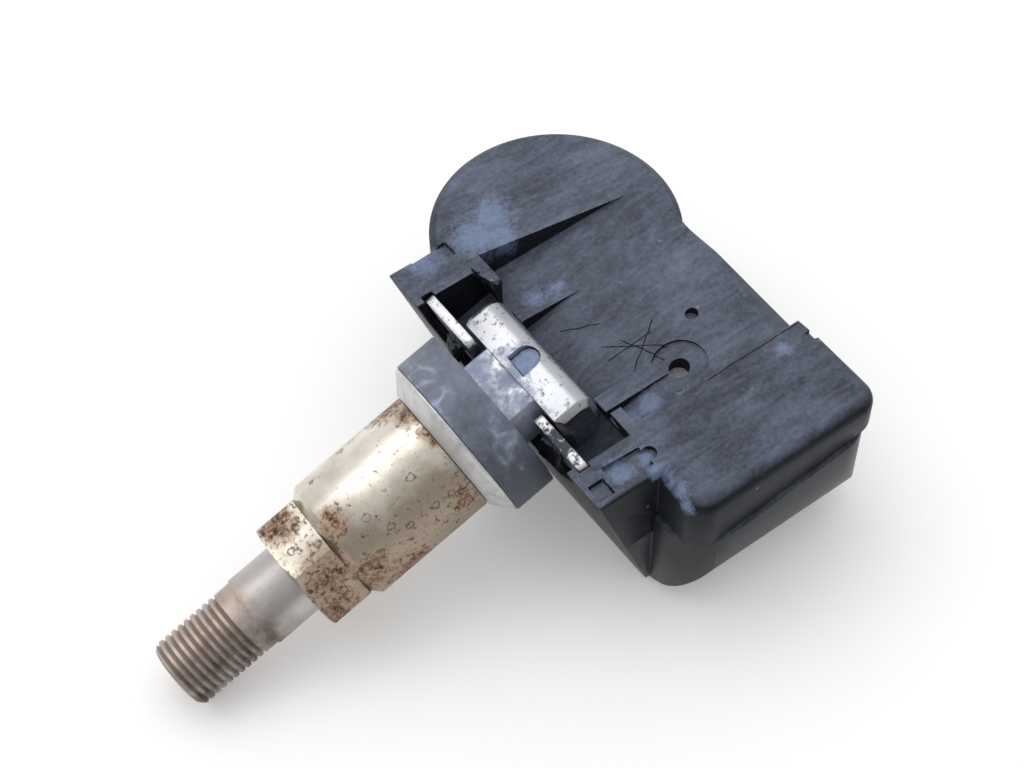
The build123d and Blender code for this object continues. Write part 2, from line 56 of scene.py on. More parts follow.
Triple = tuple[float, float, float]
Pair = tuple[float, float]
Ends = tuple[int, int]
Feed = bpy.types.Node | bpy.types.NodeSocket | float | str | Triple


class Node(Enum):
    """Shader nodes that the finishes are drawn with, and the settings of each."""

    PLACE = ("ShaderNodeTexCoord", {})
    MAPPING = ("ShaderNodeMapping", {})
    NOISE = ("ShaderNodeTexNoise", {})
    CELLS = ("ShaderNodeTexVoronoi", {})
    CRACKS = ("ShaderNodeTexVoronoi", {"feature": "DISTANCE_TO_EDGE"})
    BRICKS = ("ShaderNodeTexBrick", {})
    SPLIT = ("ShaderNodeSeparateXYZ", {})
    RANGE = ("ShaderNodeMapRange", {})
    BLEND = ("ShaderNodeMix", {"data_type": "RGBA"})
    FADE = ("ShaderNodeMix", {"data_type": "FLOAT"})
    BUMP = ("ShaderNodeBump", {})
    DENT = ("ShaderNodeBump", {"invert": True})
    BEVEL = ("ShaderNodeBevel", {"samples": 4})
    SURFACE = ("ShaderNodeNewGeometry", {})
    LIGHT_PATH = ("ShaderNodeLightPath", {})
    ADD = ("ShaderNodeMath", {"operation": "ADD"})
    SUBTRACT = ("ShaderNodeMath", {"operation": "SUBTRACT"})
    MULTIPLY = ("ShaderNodeMath", {"operation": "MULTIPLY"})
    MULTIPLY_ADD = ("ShaderNodeMath", {"operation": "MULTIPLY_ADD"})
    MAXIMUM = ("ShaderNodeMath", {"operation": "MAXIMUM"})
    ABSOLUTE = ("ShaderNodeMath", {"operation": "ABSOLUTE"})
    ROOT = ("ShaderNodeMath", {"operation": "SQRT"})
    VECTOR_SUBTRACT = ("ShaderNodeVectorMath", {"operation": "SUBTRACT"})
    VECTOR_MULTIPLY = ("ShaderNodeVectorMath", {"operation": "MULTIPLY"})
    VECTOR_MULTIPLY_ADD = ("ShaderNodeVectorMath", {"operation": "MULTIPLY_ADD"})
    DOT_PRODUCT = ("ShaderNodeVectorMath", {"operation": "DOT_PRODUCT"})
    DISTANCE = ("ShaderNodeVectorMath", {"operation": "DISTANCE"})


class Axis(Enum):
    """Frames that a pattern can follow."""

    MODEL = "model"
    STEM = "stem"


def linear(colour: str) -> tuple[float, float, float, float]:
    """Turns an sRGB hex colour to linear light.

    Args:
        colour: Colour written as #rrggbb.

    Returns:
        Linear red, green and blue with full alpha.
    """
    channels = [int(colour[i:i + 2], 16) / 255 for i in (1, 3, 5)]
    bent = [c / 12.92 if c <= 0.04045 else ((c + 0.055) / 1.055) ** 2.4 for c in channels]
    return (bent[0], bent[1], bent[2], 1.0)


def feed(tree: bpy.types.NodeTree, node: bpy.types.Node, *ordered: Feed, **named: Feed) -> None:
    """Sets or links the sockets of a shader node.

    Args:
        tree: Node tree that the node is in.
        node: The node.
        *ordered: Values or sources of its first sockets; a hex colour is turned to linear light.
        **named: The same for other sockets, by name in small letters with underscores.
    """
    for key, value in [*enumerate(ordered), *named.items()]:
        if isinstance(key, int):
            socket = node.inputs[key]
        else:
            shown = (s for s in node.inputs if s.enabled)
            socket = next(s for s in shown if s.name.lower().replace(" ", "_") == key)
        if isinstance(value, bpy.types.Node):
            value = next(s for s in value.outputs if s.enabled)
        if isinstance(value, bpy.types.NodeSocket):
            tree.links.new(value, socket)
        else:
            socket.default_value = linear(value) if isinstance(value, str) else value


def add(tree: bpy.types.NodeTree, kind: Node, *ordered: Feed, **named: Feed) -> bpy.types.Node:
    """Adds a shader node with its settings, values and links.

    Args:
        tree: Node tree that gets the node.
        kind: Which node.
        *ordered: Values or sources of its first sockets.
        **named: Values or sources of other sockets.

    Returns:
        The new node.
    """
    idname, settings = kind.value
    node = tree.nodes.new(idname)
    for name, value in settings.items():
        setattr(node, name, value)
    feed(tree, node, *ordered, **named)
    return node


def stem_matrix() -> Matrix:
    """Finds the stem's own frame from the nut's joint.

    Returns:
        Matrix with Z along the stem to its mouth, Y as the model's and its origin at the swivel.
    """
    turn = next(j for j in frame["joints"] if j["name"] == "nut_turn")
    along = Vector(turn["axis"]).normalized()
    across = Vector((0.0, 1.0, 0.0))
    matrix = Matrix((across.cross(along), across, along)).transposed().to_4x4()
    matrix.translation = Vector(turn["pos_m"])
    return matrix


def at_station(point: Vector, along: float, slack: float = 0.05) -> bool:
    """Tells whether a point lies at a station of the stem.

    Args:
        point: The point in millimetres.
        along: The station, measured along the stem in millimetres.
        slack: How far beside the station still counts.

    Returns:
        Whether it lies there.
    """
    return abs((stem_matrix().inverted() @ (point * MM)).z / MM - along) < slack


def place_mm(tree: bpy.types.NodeTree, axis: Axis) -> bpy.types.Node:
    """Gives the place on the piece in millimetres.

    Args:
        tree: Node tree of the material.
        axis: Frame that the place is measured in.

    Returns:
        Node whose output is the place.
    """
    inverse = stem_matrix().inverted() if axis is Axis.STEM else Matrix()
    return add(
        tree,
        Node.MAPPING,
        add(tree, Node.PLACE).outputs["Object"],
        scale=PER_MM,
        rotation=tuple(inverse.to_euler()),
        location=tuple(inverse.translation / MM),
    )


@dataclass(frozen=True)
class Spot:
    """A round patch of dirt or wear.

    Attributes:
        middle: Its middle in millimetres.
        radius: How far it reaches in millimetres.
    """

    middle: Triple
    radius: float


@dataclass(frozen=True)
class StraightMark:
    """A straight line seen from above: a scratch, or a painted shade line in a crease.

    Attributes:
        start: Where it starts in millimetres, without the height.
        end: Where it ends.
    """

    start: Pair
    end: Pair


def union(tree: bpy.types.NodeTree, masks: Iterable[Feed]) -> bpy.types.Node:
    """Joins masks into one.

    Args:
        tree: Node tree of the material.
        masks: Nodes or sockets that are 1 where they hold and 0 elsewhere.

    Returns:
        Node that is 1 where any of them is.
    """
    return reduce(lambda one, other: add(tree, Node.MAXIMUM, one, other), masks)


def scratches_mask(
    tree: bpy.types.NodeTree,
    place: bpy.types.Node,
    scratch_and_shade_lines: Iterable[StraightMark],
    width: float,
    swing: float = 0.3,
    wave: float = 0.8,
    core: float = 0.4,
) -> bpy.types.Node:
    """Draws scratches and painted shade lines as one mask.

    Args:
        tree: Node tree of the material.
        place: Place in millimetres.
        scratch_and_shade_lines: The lines: scratches, and painted shade lines in creases.
        width: Their width in millimetres.
        swing: How far they swing from a straight line, in millimetres.
        wave: Length of a swing in millimetres.
        core: Share of the width that is cut in full.

    Returns:
        Node that is 1 in a scratch and 0 beside it.
    """
    shaky = add(tree, Node.NOISE, place, scale=1 / wave, detail=2.0).outputs["Color"]
    moved = add(tree, Node.VECTOR_MULTIPLY_ADD, shaky, (swing,) * 3, place)
    flat = add(tree, Node.VECTOR_MULTIPLY, moved, (1.0, 1.0, 0.0))
    cuts = []
    for scratch in scratch_and_shade_lines:
        start, end = Vector((*scratch.start, 0.0)), Vector((*scratch.end, 0.0))
        run = end - start
        from_start = add(tree, Node.VECTOR_SUBTRACT, flat, tuple(start))
        share = add(tree, Node.DOT_PRODUCT, from_start, tuple(run / run.length_squared))
        inside = add(tree, Node.RANGE, share)
        nearest = add(tree, Node.VECTOR_MULTIPLY_ADD, inside, tuple(run), tuple(start))
        away = add(tree, Node.DISTANCE, flat, nearest)
        cuts.append(add(tree, Node.RANGE, away, from_min=width, from_max=core * width))
    return union(tree, cuts)


def spots_mask(
    tree: bpy.types.NodeTree,
    place: bpy.types.Node,
    spots: Iterable[Spot],
    ragged: float = 1.6,
    wave: float = 1.9,
    core: float = 0.3,
) -> bpy.types.Node:
    """Draws patches with an uneven outline as one mask.

    Args:
        tree: Node tree of the material.
        place: Place in millimetres.
        spots: The patches.
        ragged: How far the outline wanders, in millimetres.
        wave: Size of its bays in millimetres.
        core: Share of a patch's radius that is full.

    Returns:
        Node that falls from 1 in the middle of a patch to 0 at its edge.
    """
    bays = add(tree, Node.NOISE, place, scale=1 / wave, detail=5.0, roughness=0.6)
    centred = add(tree, Node.VECTOR_SUBTRACT, bays.outputs["Color"], (0.5, 0.5, 0.5))
    moved = add(tree, Node.VECTOR_MULTIPLY_ADD, centred, (2 * ragged,) * 3, place)
    patches = []
    for spot in spots:
        away = add(tree, Node.DISTANCE, moved, spot.middle)
        patches.append(
            add(tree, Node.RANGE, away, from_min=spot.radius, from_max=core * spot.radius)
        )
    return union(tree, patches)


def edge_wear(
    tree: bpy.types.NodeTree, reach: float, begins: float = 0.985, full: float = 0.86
) -> bpy.types.Node:
    """Finds the edges of a piece, where handling rubs it.

    Args:
        tree: Node tree of the material.
        reach: How far the wear reaches from an edge, in millimetres.
        begins: Cosine of the turn at which wear begins.
        full: Cosine of the turn at which it is full.

    Returns:
        Node that is 1 on an edge and 0 on a flat.
    """
    rounded = add(tree, Node.BEVEL, radius=reach * MM)
    flat = add(tree, Node.SURFACE).outputs["Normal"]
    alike = add(tree, Node.DOT_PRODUCT, rounded, flat)
    return add(tree, Node.RANGE, alike, from_min=begins, from_max=full)


@dataclass(frozen=True)
class Finish:
    """A real material and how its surface was made.

    Attributes:
        name: Name of the material.
    """

    name: str

    def material(self) -> bpy.types.Material:
        """Makes the material, or finds it if it is there.

        Returns:
            The material.
        """
        made = bpy.data.materials.get(self.name)
        if made is None:
            made = bpy.data.materials.new(self.name)
            made.use_nodes = True
            self.paint(made.node_tree, made.node_tree.nodes["Principled BSDF"])
        return made

    def paint(self, tree: bpy.types.NodeTree, shader: bpy.types.Node) -> None:
        """Draws the finish on the shader.

        Args:
            tree: Node tree of the material.
            shader: Its Principled shader.
        """
        raise NotImplementedError


@dataclass(frozen=True)
class MouldedNylon(Finish):
    """Glass-filled nylon, injection moulded: near-black, fine grained and dull where dust lies.

    Attributes:
        clean: Colour of the clean walls.
        worn_and_sheen: Colour of the top where it is rubbed, with painted sheen in it.
        dust: Colour of the loose dust.
        deposit: Colour of the brake-dust paste in corners.
        edges: Colour of the rubbed edges.
        roughness: Roughness of the clean walls.
        shine: How strongly it reflects; 0.5 is a plain plastic.
        block_edge: Where the block ends and the valley starts, across the housing in millimetres; the
            block's top gets less painted sheen than the valley.
        cloud: Size of the rubbed patches in millimetres.
        fleck: Size of the crumbs of dust and paste.
        grain: Size of the moulded grain, drawn coarser than it is so that it shows.
        streak: Size of the wiped streaks along each axis.
        streak_turn: Turn of the streaks about the vertical, in radians.
        speck: Spacing of the pale specks.
        rubbing: How far edges are rubbed.
        scratch_width: Width of a scratch and of a painted shade line.
        ragged: How far the outline of the paste wanders.
        spots: Where the paste has dried.
        scratch_and_shade_lines: Where it was scratched, and where a painted shade line lies in a
            crease.
    """

    clean: str = "#0c0e13"
    worn_and_sheen: str = "#4c505c"
    dust: str = "#818ba0"
    deposit: str = "#7f95bb"
    edges: str = "#747884"
    roughness: float = 0.38
    shine: float = 0.1
    block_edge: Pair = (-12.1, -11.9)
    cloud: float = 7.0
    fleck: float = 0.5
    grain: float = 0.16
    streak: Triple = (4.5, 1.3, 3.0)
    streak_turn: float = 0.25
    speck: float = 3.4
    rubbing: float = 0.22
    scratch_width: float = 0.085
    ragged: float = 1.1
    spots: tuple[Spot, ...] = ()
    scratch_and_shade_lines: tuple[StraightMark, ...] = ()

    def paint(self, tree: bpy.types.NodeTree, shader: bpy.types.Node) -> None:
        """Draws dull black nylon, greyer on top from wear and painted sheen, with dust, scuffs and
        dried paste.

        Args:
            tree: Node tree of the material.
            shader: Its Principled shader.
        """
        place = place_mm(tree, Axis.MODEL)
        cloud = add(tree, Node.NOISE, place, scale=1 / self.cloud, detail=4.0, distortion=0.4)
        fleck = add(tree, Node.NOISE, place, scale=1 / self.fleck, detail=10.0, roughness=0.76)
        grain = add(tree, Node.NOISE, place, scale=1 / self.grain, detail=2.0)
        # top: paler where it faces up, from wear and from painted sheen; the block gets less painted
        # sheen than the valley
        normal = add(tree, Node.PLACE).outputs["Normal"]
        facing = add(tree, Node.SPLIT, normal).outputs["Z"]
        upward = add(tree, Node.RANGE, facing, from_min=0.55, from_max=0.97, to_min=0.08)
        rubbed = add(tree, Node.RANGE, cloud, from_min=0.3, from_max=0.68, to_min=0.84)
        across = add(tree, Node.SPLIT, place).outputs["Y"]
        painted_valley_sheen = add(tree, Node.RANGE, across, *self.block_edge, to_min=0.82)
        wear_and_valley_sheen = add(tree, Node.MULTIPLY, rubbed, painted_valley_sheen)
        top_wear_and_sheen = add(tree, Node.MULTIPLY, wear_and_valley_sheen, upward)
        base = add(tree, Node.BLEND, top_wear_and_sheen, a=self.clean, b=self.worn_and_sheen)
        # loose dust: wiped into streaks and broken into crumbs
        smear = add(
            tree,
            Node.MAPPING,
            place,
            rotation=(0.0, 0.0, self.streak_turn),
            scale=tuple(1 / size for size in self.streak),
        )
        wiped = add(tree, Node.NOISE, smear, scale=1.0, detail=5.0, distortion=1.2)
        streak = add(tree, Node.RANGE, wiped, from_min=0.36, from_max=0.72, to_max=0.13)
        drift = add(tree, Node.MULTIPLY_ADD, cloud, 0.3, streak)
        powder = add(tree, Node.MULTIPLY_ADD, fleck, 0.45, drift)
        loose = add(tree, Node.RANGE, powder, from_min=0.33, from_max=0.61, to_max=0.8)
        settled = add(tree, Node.MULTIPLY, loose, top_wear_and_sheen)
        dusty = add(tree, Node.BLEND, settled, a=base, b=self.dust)
        # scuffed edges and a few pale specks
        worn_edge = add(tree, Node.MULTIPLY, edge_wear(tree, self.rubbing), fleck)
        scuff = add(tree, Node.RANGE, worn_edge, from_min=0.3, from_max=0.58, to_max=0.8)
        scuffed = add(tree, Node.BLEND, scuff, a=dusty, b=self.edges)
        cells = add(tree, Node.CELLS, place, scale=1 / self.speck)
        speck = add(tree, Node.RANGE, cells, from_min=0.06, from_max=0.04, to_max=0.7)
        colour = add(tree, Node.BLEND, speck, a=scuffed, b=self.dust)
        height = add(tree, Node.MULTIPLY, grain, 0.25)
        dull = settled
        if self.spots:
            patch = spots_mask(tree, place, self.spots, self.ragged)
            broken = add(tree, Node.MULTIPLY_ADD, fleck, 2.0, patch)
            pasted = add(tree, Node.RANGE, broken, from_min=1.2, from_max=2.1, to_max=0.85)
            shade = add(tree, Node.BLEND, fleck, a=self.deposit, b=self.dust)
            colour = add(tree, Node.BLEND, pasted, a=colour, b=shade)
            height = add(tree, Node.ADD, pasted, height)
            dull = add(tree, Node.MAXIMUM, pasted, settled)
        # scratches, and on the housing a painted shade line in the crease at the block's foot: darker
        # and sunk
        if self.scratch_and_shade_lines:
            cut = scratches_mask(tree, place, self.scratch_and_shade_lines, self.scratch_width)
            colour = add(tree, Node.BLEND, cut, a=colour, b=self.clean)
            height = add(tree, Node.SUBTRACT, height, cut)
        rough = add(tree, Node.RANGE, dull, to_min=self.roughness, to_max=0.8)
        bump = add(tree, Node.BUMP, height=height, strength=0.4, distance=0.06 * MM)
        feed(tree, shader, base_color=colour, roughness=rough, normal=bump)
        feed(tree, shader, specular_ior_level=self.shine)


@dataclass(frozen=True)
class PlainMoulding(Finish):
    """A small moulded or fired piece: one colour, a little mottled, with a fine skin.

    Attributes:
        light: Its lighter colour.
        dark: Its darker colour.
        roughness: Mean roughness.
        mottle: Size of the mottling in millimetres.
        grain: Size of the skin's grain in millimetres.
    """

    light: str = "#808080"
    dark: str = "#606060"
    roughness: float = 0.5
    mottle: float = 1.2
    grain: float = 0.12

    def paint(self, tree: bpy.types.NodeTree, shader: bpy.types.Node) -> None:
        """Draws a mottled colour with a grained skin.

        Args:
            tree: Node tree of the material.
            shader: Its Principled shader.
        """
        place = place_mm(tree, Axis.MODEL)
        cloud = add(tree, Node.NOISE, place, scale=1 / self.mottle, detail=5.0)
        grain = add(tree, Node.NOISE, place, scale=1 / self.grain, detail=2.0)
        colour = add(tree, Node.BLEND, cloud, a=self.dark, b=self.light)
        smoothest, roughest = self.roughness - 0.12, self.roughness + 0.12
        rough = add(tree, Node.RANGE, cloud, to_min=smoothest, to_max=roughest)
        bump = add(tree, Node.BUMP, height=grain, strength=0.2, distance=0.03 * MM)
        feed(tree, shader, base_color=colour, roughness=rough, normal=bump)


@dataclass(frozen=True)
class WorkedMetal(Finish):
    """Bare or plated metal with the lines of its tool: rings from turning or streaks from rolling.

    Attributes:
        bright: Colour of the bare metal.
        stain: Colour of the tarnish.
        axis: Frame that the tool lines follow.
        lines: How coarse the lines are along each axis, in millimetres; coarse enough to show.
        roughness: Mean roughness.
        tarnish: How much of the surface is tarnished, from 0 to 1.
        patch: Size of the tarnished patches in millimetres.
    """

    bright: str = "#b8b8b8"
    stain: str = "#808080"
    axis: Axis = Axis.MODEL
    lines: Triple = (4.0, 0.15, 4.0)
    roughness: float = 0.32
    tarnish: float = 0.4
    patch: float = 1.8

    def paint(self, tree: bpy.types.NodeTree, shader: bpy.types.Node) -> None:
        """Draws metal with tool lines and patches of tarnish.

        Args:
            tree: Node tree of the material.
            shader: Its Principled shader.
        """
        place = place_mm(tree, self.axis)
        stretched = add(tree, Node.MAPPING, place, scale=tuple(1 / size for size in self.lines))
        lines = add(tree, Node.NOISE, stretched, scale=1.0, detail=3.0)
        cloud = add(tree, Node.NOISE, place, scale=1 / self.patch, detail=7.0, roughness=0.6)
        # level of the noise above which the metal is tarnished
        edge = 0.75 - 0.45 * self.tarnish
        tarnished = add(tree, Node.RANGE, cloud, from_min=edge - 0.12, from_max=edge + 0.14)
        colour = add(tree, Node.BLEND, tarnished, a=self.bright, b=self.stain)
        spread = add(tree, Node.MULTIPLY_ADD, tarnished, lines, lines)
        smoothest, roughest = self.roughness - 0.1, self.roughness + 0.2
        rough = add(tree, Node.RANGE, spread, to_min=smoothest, to_max=roughest)
        bump = add(tree, Node.BUMP, height=lines, strength=0.15, distance=0.02 * MM)
        feed(tree, shader, base_color=colour, metallic=1.0, roughness=rough, normal=bump)


@dataclass(frozen=True)
class PittedSteel(Finish):
    """Stamped stainless plate: bright where it was rubbed, pitted, darker on its sides, with dirt on
    its upper edges.

    Attributes:
        bright: Colour of the rubbed metal.
        grime: Colour of the darker sides and of the dirt.
        pit: Size of the pits in millimetres.
        spots: Where dirt lies on the upper edges.
    """

    bright: str = "#c4c5c8"
    grime: str = "#3a3d47"
    pit: float = 0.6
    spots: tuple[Spot, ...] = (Spot((-16.0, -9.2, 20.6), 3.0),)

    def paint(self, tree: bpy.types.NodeTree, shader: bpy.types.Node) -> None:
        """Draws bright upper edges with pits, darker sides and dirt.

        Args:
            tree: Node tree of the material.
            shader: Its Principled shader.
        """
        place = place_mm(tree, Axis.MODEL)
        normal = add(tree, Node.PLACE).outputs["Normal"]
        facing = add(tree, Node.SPLIT, normal).outputs["Z"]
        # darker where it faces sideways, and where dirt lies on the upper edges
        sideways = add(tree, Node.RANGE, facing, from_min=0.75, from_max=0.35)
        pits = add(tree, Node.NOISE, place, scale=1 / self.pit, detail=8.0, roughness=0.7)
        darkened = add(tree, Node.MAXIMUM, sideways, spots_mask(tree, place, self.spots))
        darkened_and_pitted = add(tree, Node.MULTIPLY_ADD, darkened, 0.22, pits)
        mask = add(tree, Node.RANGE, darkened_and_pitted, from_min=0.55, from_max=0.66)
        colour = add(tree, Node.BLEND, mask, a=self.bright, b=self.grime)
        metal = add(tree, Node.RANGE, mask, to_min=1.0, to_max=0.0)
        rough = add(tree, Node.RANGE, mask, to_min=0.36, to_max=0.65)
        dent = add(tree, Node.DENT, height=mask, strength=0.4, distance=0.05 * MM)
        feed(tree, shader, base_color=colour, metallic=metal, roughness=rough, normal=dent)


@dataclass(frozen=True)
class BloomedRubber(Finish):
    """Moulded rubber with a bluish bloom and white salt veins on its upper side, and painted shade on
    its lower side.

    Attributes:
        dark: Colour of the clean rubber, which also carries the painted shade on the lower side.
        bloom: Colour of the bloom.
        salt: Colour of the salt veins.
        cloud: Size of the bloomed patches in millimetres.
        fleck: Size of the mottling in them.
        vein: Spacing of the veins.
        bend: Length of the veins' bends.
        sway: How far the veins bend.
    """

    dark: str = "#3f4552"
    bloom: str = "#737a8b"
    salt: str = "#aab1c6"
    cloud: float = 3.5
    fleck: float = 0.6
    vein: float = 2.9
    bend: float = 2.2
    sway: float = 2.4

    def paint(self, tree: bpy.types.NodeTree, shader: bpy.types.Node) -> None:
        """Draws slate rubber that pales upwards, from bloom above and painted shade below, crossed by
        veins.

        Args:
            tree: Node tree of the material.
            shader: Its Principled shader.
        """
        colour, rough, height = self.skin(tree)
        bump = add(tree, Node.BUMP, height=height, strength=0.3, distance=0.05 * MM)
        feed(tree, shader, base_color=colour, roughness=rough, normal=bump)

    def skin(
        self, tree: bpy.types.NodeTree
    ) -> tuple[bpy.types.Node, bpy.types.Node, bpy.types.Node]:
        """Draws the bloomed skin for this or another finish.

        Args:
            tree: Node tree of the material.

        Returns:
            Nodes with its colour, roughness and height.
        """
        place = place_mm(tree, Axis.STEM)
        heights = add(tree, Node.SPLIT, place).outputs["X"]
        cloud = add(tree, Node.NOISE, place, scale=1 / self.cloud, detail=6.0, roughness=0.6)
        fleck = add(tree, Node.NOISE, place, scale=1 / self.fleck, detail=8.0, roughness=0.7)
        # paler upwards: bloom on the upper side, painted shade on the lower side
        mottle = add(tree, Node.MULTIPLY_ADD, fleck, 5.0, heights)
        lifted = add(tree, Node.MULTIPLY_ADD, cloud, 11.0, mottle)
        upper = add(tree, Node.RANGE, lifted, from_min=12.0, from_max=17.5)
        base = add(tree, Node.BLEND, upper, a=self.dark, b=self.bloom)
        bent = add(tree, Node.NOISE, place, scale=1 / self.bend, detail=4.0).outputs["Color"]
        warped = add(tree, Node.VECTOR_MULTIPLY_ADD, bent, (self.sway,) * 3, place)
        cracks = add(tree, Node.CRACKS, warped, scale=1 / self.vein)
        vein = add(tree, Node.RANGE, cracks, from_min=0.16, from_max=0.01)
        broken = add(tree, Node.RANGE, cloud, from_min=0.42, from_max=0.66)
        veined = add(tree, Node.MULTIPLY, vein, broken)
        salty = add(tree, Node.MULTIPLY, veined, upper)
        colour = add(tree, Node.BLEND, salty, a=base, b=self.salt)
        rough = add(tree, Node.RANGE, salty, to_min=0.48, to_max=0.8)
        return colour, rough, salty


@dataclass(frozen=True)
class StemAluminium(Finish):
    """Turned aluminium: rubbed bright on the head, oxidised on the disc and brown in the thread.

    Attributes:
        bright: Colour of the rubbed head.
        dull: Colour of the head in its hazy patches, and of the painted shade on its back.
        grey: Colour of the dull shank.
        pit: Colour inside the pits.
        deposit: Colour of the paste on head and neck.
        chalk: Colour of the paste where it is dry.
        dirt: Colour of the dirt in the thread.
        film: Colour of the thin dirt on the thread's flanks.
        fleck: Size of the pits and crumbs in millimetres.
        cloud: Size of the hazy patches.
        neck_end: Where the neck turns into the disc, along the stem in millimetres.
        disc_end: Where the disc turns into the shank.
        thread_start: Where the thread's film of dirt begins and where it is full.
        shaded_back: Where painted shade on the back of the head starts and where it is darkest.
        paste_rise: Where the paste starts to thicken towards the disc and where it is thickest.
        block_side: Where the side towards the block starts to brown and where it is brownest.
        roots: Radius at which dirt begins in the thread and radius at which it is full.
        ragged: How far the outline of the paste wanders.
        outlet_spots: Where paste lies round the air outlet.
    """

    bright: str = "#bfc0c5"
    dull: str = "#b2b4b9"
    grey: str = "#bbb6b4"
    pit: str = "#3b3e46"
    deposit: str = "#7482a8"
    chalk: str = "#aeb6cc"
    dirt: str = "#574a42"
    film: str = "#b9aaa0"
    fleck: float = 0.55
    cloud: float = 2.6
    neck_end: Pair = (5.52, 5.58)
    disc_end: Pair = (7.3, 7.36)
    thread_start: Pair = (33.2, 37.2)
    shaded_back: Pair = (0.3, -1.6)
    paste_rise: Pair = (0.8, 3.2)
    block_side: Pair = (-0.3, -3.4)
    roots: Pair = (3.6, 3.42)
    ragged: float = 1.2
    outlet_spots: tuple[Spot, ...] = (Spot((3.4, 1.6, 0.4), 2.6), Spot((3.2, 0.0, 1.4), 2.2))

    def paint(self, tree: bpy.types.NodeTree, shader: bpy.types.Node) -> None:
        """Draws the stem's stretches one after the other along its axis.

        Args:
            tree: Node tree of the material.
            shader: Its Principled shader.
        """
        place = place_mm(tree, Axis.STEM)
        split = add(tree, Node.SPLIT, place)
        up, side, along = (split.outputs[name] for name in "XYZ")
        fleck = add(tree, Node.NOISE, place, scale=1 / self.fleck, detail=7.0, roughness=0.63)
        cloud = add(tree, Node.NOISE, place, scale=1 / self.cloud, detail=6.0, roughness=0.6)
        on_disc = add(tree, Node.RANGE, along, *self.neck_end)
        past_disc = add(tree, Node.RANGE, along, *self.disc_end)
        on_thread = add(tree, Node.RANGE, along, *self.thread_start)
        # head and neck: rubbed metal, haze, painted shade on the back of the head, pits, and paste
        # that thickens towards the disc
        pits = add(tree, Node.RANGE, fleck, from_min=0.575, from_max=0.67, to_max=0.85)
        back_shade = add(tree, Node.RANGE, along, *self.shaded_back)
        haze_and_back_shade = add(tree, Node.MULTIPLY_ADD, back_shade, 0.3, cloud)
        haze = add(tree, Node.RANGE, haze_and_back_shade, from_min=0.42, from_max=0.85)
        metal_tone = add(tree, Node.BLEND, haze, a=self.bright, b=self.dull)
        pitted = add(tree, Node.BLEND, pits, a=metal_tone, b=self.pit)
        towards_disc = add(tree, Node.RANGE, along, *self.paste_rise)
        thick = add(tree, Node.MULTIPLY_ADD, towards_disc, 0.42, cloud)
        around_outlet = spots_mask(tree, place, self.outlet_spots, self.ragged)
        thicker = add(tree, Node.MULTIPLY_ADD, around_outlet, 0.3, thick)
        crumbled = add(tree, Node.MULTIPLY_ADD, fleck, 0.5, thicker)
        paste = add(tree, Node.RANGE, crumbled, from_min=0.92, from_max=1.2, to_max=0.9)
        paste_tone = add(tree, Node.BLEND, fleck, a=self.deposit, b=self.chalk)
        head = add(tree, Node.BLEND, paste, a=pitted, b=paste_tone)
        # shank and thread: dull metal, brown film on the flanks and dirt in the roots
        block_side = add(tree, Node.RANGE, side, *self.block_side)
        darkened = add(tree, Node.MULTIPLY_ADD, block_side, 0.3, cloud)
        brown = add(tree, Node.RANGE, darkened, from_min=0.56, from_max=0.9)
        up_squared = add(tree, Node.MULTIPLY, up, up)
        radius_squared = add(tree, Node.MULTIPLY_ADD, side, side, up_squared)
        radius = add(tree, Node.ROOT, radius_squared)
        root = add(tree, Node.RANGE, radius, *self.roots, to_max=1.2)
        rooted = add(tree, Node.MULTIPLY, root, fleck)
        filmed = add(tree, Node.MULTIPLY, on_thread, cloud)
        film = add(tree, Node.RANGE, filmed, from_min=0.2, from_max=0.55)
        flank = add(tree, Node.BLEND, film, a=self.grey, b=self.film)
        browned = add(tree, Node.MULTIPLY, brown, on_thread)
        grime = add(tree, Node.MAXIMUM, browned, rooted)
        shank = add(tree, Node.BLEND, grime, a=flank, b=self.dirt)
        # the disc has the same bluish bloom as the rubber behind it, and the same painted shade below
        skin, skin_rough, skin_height = BloomedRubber("disc bloom").skin(tree)
        inner = add(tree, Node.BLEND, on_disc, a=head, b=skin)
        colour = add(tree, Node.BLEND, past_disc, a=inner, b=shank)
        dull_head = add(tree, Node.MAXIMUM, paste, on_disc)
        dull = add(tree, Node.FADE, past_disc, a=dull_head, b=grime)
        metal = add(tree, Node.RANGE, dull, to_min=1.0, to_max=0.0)
        head_rough = add(tree, Node.RANGE, paste, to_min=0.33, to_max=0.75)
        shank_rough = add(tree, Node.RANGE, film, to_min=0.38, to_max=0.52)
        inner_rough = add(tree, Node.FADE, on_disc, a=head_rough, b=skin_rough)
        rough = add(tree, Node.FADE, past_disc, a=inner_rough, b=shank_rough)
        sunk = add(tree, Node.SUBTRACT, skin_height, pits)
        bump = add(tree, Node.BUMP, height=sunk, strength=0.3, distance=0.06 * MM)
        feed(tree, shader, base_color=colour, metallic=metal, roughness=rough, normal=bump)


